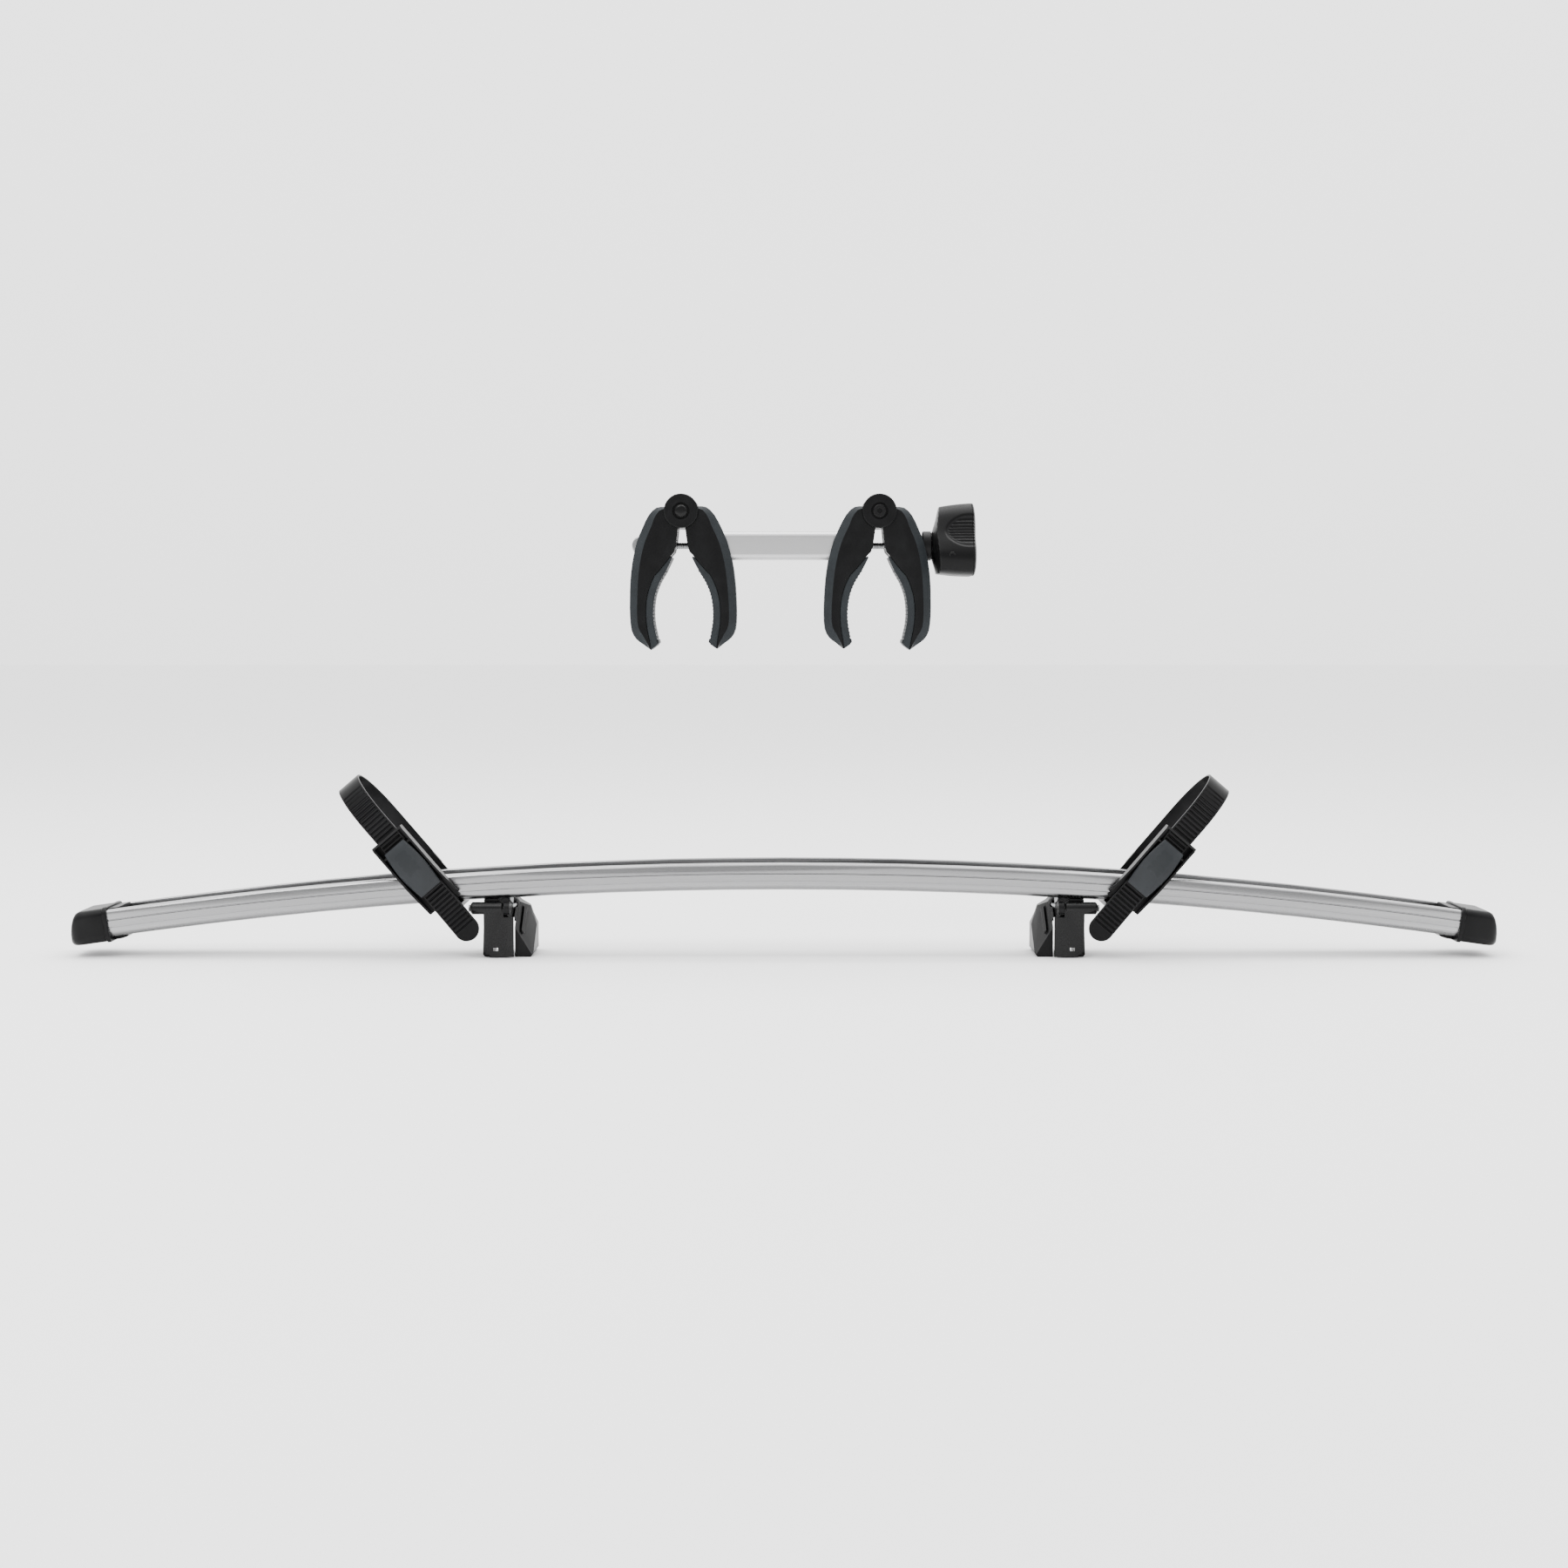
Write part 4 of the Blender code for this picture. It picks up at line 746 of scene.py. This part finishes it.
def knob_point(angle, along, inset):
    """The point of the skin at an angle and a distance from the back, set in by a given amount."""
    share = along / KNOB_LENGTH
    radius = knob_radius(angle, min(1.0, share / SEAM)) - grip_depth(angle, share) - inset
    limit = cone_limit(along)
    over = max(0.0, radius - limit + BACK_SOFT)
    radius = limit if over > 2 * BACK_SOFT else radius - over ** 2 / (4 * BACK_SOFT)
    return Vector((KNOB_START + along, AXIS.y + radius * math.cos(angle), AXIS.z + radius * math.sin(angle)))


print("lobes reach", round(knob_radius(math.pi / 2, 1.0) / MM, 1), "mm from the axis")


# %% The knob's body and end face
KNOB_STEPS = 432
BODY_STEPS = 56
DOME_STEPS = 14
DOME_INSET = 26 * MM


def knob_rings(stations):
    """Rings of the skin, one for each pair of a distance and an inset."""
    rings = []
    for along, inset in stations:
        rings.append([knob_point(2 * math.pi * i / KNOB_STEPS, along, inset) for i in range(KNOB_STEPS)])
    return rings


def close_knob(name, stations, stands_for):
    """A closed skin through the stations, in place of a piece of the frame."""
    obj = place_in_scene(name, loft(knob_rings(stations)))
    obj.data.set_sharp_from_angle(angle=math.radians(48))
    return dress(settle(obj), stands_for)


seam_at = SEAM * KNOB_LENGTH
body_stations = [(0.15 * MM * i, 0) for i in range(3)]
for i in range(1, BODY_STEPS + 1):
    body_stations.append((0.3 * MM + (seam_at - 0.6 * MM) * i / BODY_STEPS, 0))
body_stations += [(seam_at - 0.12 * MM, 0.12 * MM), (seam_at, 0.4 * MM)]
close_knob("knob_lobed_body", body_stations, "knob_body")

dome_at = seam_at + 0.4 * MM
dome_height = KNOB_LENGTH - seam_at - 0.5 * MM
cap_stations = [(seam_at + 0.15 * MM, 0.45 * MM), (seam_at + 0.35 * MM, 0.1 * MM)]
for i in range(1, DOME_STEPS + 1):
    turn = math.pi / 2 * i / DOME_STEPS
    inset = DOME_INSET * (1 - math.cos(turn)) ** 1.15
    cap_stations.append((dome_at + dome_height * math.sin(turn), inset))
close_knob("knob_domed_end", cap_stations, "knob_cap")
print("knob body with", len(body_stations), "rings, end with", len(cap_stations))

# %% [markdown]
# A small hole in the knob's flank takes a lock or a pin. It is shown by a short lined sleeve let into
# the skin. A Boolean cut would leave long thin faces in such a dense mesh.

# %% The pin hole's sleeve
SLEEVE_ANGLE = math.radians(194)
SLEEVE_ALONG = 0.42
SLEEVE_PROFILE = ((2.6, -0.5), (2.6, 0.2), (2.2, 0.38), (1.9, 0.26), (1.85, -0.3), (1.2, -0.4))
SLEEVE_STEPS = 20


def make_pin_hole():
    """A short sleeve from a profile of radius and rise in millimetres, turned about the hole."""
    outward = Vector((0, math.cos(SLEEVE_ANGLE), math.sin(SLEEVE_ANGLE)))
    across = outward.cross(Vector((1, 0, 0)))
    spot = knob_point(SLEEVE_ANGLE, SLEEVE_ALONG * KNOB_LENGTH, 0)
    rings = []
    for radius, rise in SLEEVE_PROFILE:
        ring = []
        for i in range(SLEEVE_STEPS):
            turn = 2 * math.pi * i / SLEEVE_STEPS
            side_step = Vector((math.cos(turn), 0, 0)) + across * math.sin(turn)
            ring.append(spot + side_step * radius * MM + outward * rise * MM)
        rings.append(ring)
    obj = place_in_scene("knob_pin_sleeve", loft(rings))
    obj.data.materials.append(FINISHES["painted_steel"])
    settle(obj)
    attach(obj, "knob")
    return obj


print(make_pin_hole().name)

# %% [markdown]
# ## The tension rod's thread
#
# The rod is plain in its middle and threaded at its ends. The thread that can be seen is the short
# stretch in the claws' mouths. A real thread is a helix, and at this size a ring-by-ring loft whose
# radius follows the turn and the distance together gives exactly that.

# %% A threaded rod
THREAD_PITCH = 2.0 * MM
THREAD_DEPTH = 0.45 * MM
THREAD_REACH = 26 * MM
RINGS_PER_TURN = 6
ROD_STEPS = 24
PLAIN_SKIP = 8


def rod_ring(x, radius, threaded):
    """One ring of the rod, where a threaded ring is deepest at an angle that turns with X."""
    ring = []
    for j in range(ROD_STEPS):
        turn = 2 * math.pi * j / ROD_STEPS
        phase = (x / THREAD_PITCH + j / ROD_STEPS) % 1.0
        size = radius - THREAD_DEPTH * (1 - abs(2 * phase - 1)) if threaded else radius
        ring.append(Vector((x, AXIS.y + size * math.cos(turn), AXIS.z + size * math.sin(turn))))
    return ring


def make_rod():
    """The rod as close rings where it is threaded and as far apart ones where it is plain."""
    low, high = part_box("tension_rod")
    count = int((high.x - low.x) / (THREAD_PITCH / RINGS_PER_TURN))
    plain_from = PIVOTS["left"].x + THREAD_REACH
    plain_to = PIVOTS["right"].x - THREAD_REACH
    rings = []
    i = 0
    while i <= count:
        x = low.x + (high.x - low.x) * i / count
        plain = plain_from < x < plain_to
        rings.append(rod_ring(x, (high.z - low.z) / 2, not plain))
        i += PLAIN_SKIP if plain and x < plain_to - 10 * MM else 1
    obj = place_in_scene("threaded_rod", loft(rings))
    return dress(settle(obj), "tension_rod")


print(make_rod().name)

# %% [markdown]
# ## Camera, light and floor
#
# The stage is a pale floor under a studio sky that is brightest above and behind the object. Black
# plastic shows its shape only through reflections. A low index of refraction keeps its faces from
# washing out to grey, and wide soft lamps still draw a highlight along each edge.

# %% The floor
def pale_floor():
    """A wide plane that belongs to the stage and not to the object."""
    bm = bmesh.new()
    bmesh.ops.create_grid(bm, x_segments=1, y_segments=1, size=12)
    obj = place_in_scene("floor", bm)
    material = bpy.data.materials.new("pale_floor")
    material.use_nodes = True
    surface = material.node_tree.nodes["Principled BSDF"]
    surface.inputs["Base Color"].default_value = (0.92, 0.92, 0.92, 1)
    surface.inputs["Roughness"].default_value = 0.7
    obj.data.materials.append(material)
    return obj


print(pale_floor().name)

# %% The sky
SKY_LEAN = (0.0, 0.55, 0.85)
SKY_DIM = 0.8
SKY_BRIGHT = 3.0
world = bpy.data.worlds.new("studio_sky")
world.use_nodes = True
sky = world.node_tree
direction = node(sky, "ShaderNodeTexCoord")
facing = node(sky, "ShaderNodeVectorMath", operation="DOT_PRODUCT")
facing.inputs[1].default_value = SKY_LEAN
sky.links.new(direction.outputs["Generated"], facing.inputs[0])
glow = node(sky, "ShaderNodeMapRange", interpolation_type="SMOOTHSTEP", From_Min=-0.3, From_Max=0.9)
glow.inputs["To Min"].default_value = SKY_DIM
glow.inputs["To Max"].default_value = SKY_BRIGHT
sky.links.new(facing.outputs["Value"], glow.inputs["Value"])
sky.nodes["Background"].inputs["Color"].default_value = (1, 1, 1, 1)
sky.links.new(glow.outputs["Result"], sky.nodes["Background"].inputs["Strength"])
bpy.context.scene.world = world
print("sky from", SKY_DIM, "to", SKY_BRIGHT)


# %% The lamps
def lamp(name, place, size, power, target=(0, 0, 0.2)):
    """A wide lamp of so many watts that faces the object and isn't seen itself."""
    light = bpy.data.lights.new(name, "AREA")
    light.shape = "RECTANGLE"
    light.size, light.size_y = size
    light.energy = power
    obj = bpy.data.objects.new(name, light)
    obj.location = place
    obj.rotation_euler = (Vector(target) - Vector(place)).to_track_quat("-Z", "Y").to_euler()
    obj.visible_camera = False
    bpy.context.scene.collection.objects.link(obj)


lamp("key", (-1.1, -1.5, 2.2), (1.2, 0.7), 30)
lamp("top", (0.0, 0.3, 2.4), (3.4, 1.6), 80)
print("lamps: key, top")

# %% The camera
VIEW_DISTANCE = 2.2
VIEW_WIDTH = 1.503
AIM_HEIGHT = 0.1645
TILT = math.radians(4.3)
camera = bpy.data.objects.new("camera", bpy.data.cameras.new("camera"))
camera.data.sensor_width = 36
camera.data.lens = camera.data.sensor_width * VIEW_DISTANCE / VIEW_WIDTH
camera.location = (0, -VIEW_DISTANCE * math.cos(TILT), AIM_HEIGHT + VIEW_DISTANCE * math.sin(TILT))
camera.rotation_euler = (math.pi / 2 - TILT, 0, 0)
bpy.context.scene.collection.objects.link(camera)
bpy.context.scene.camera = camera
print("lens", round(camera.data.lens, 1), "mm")
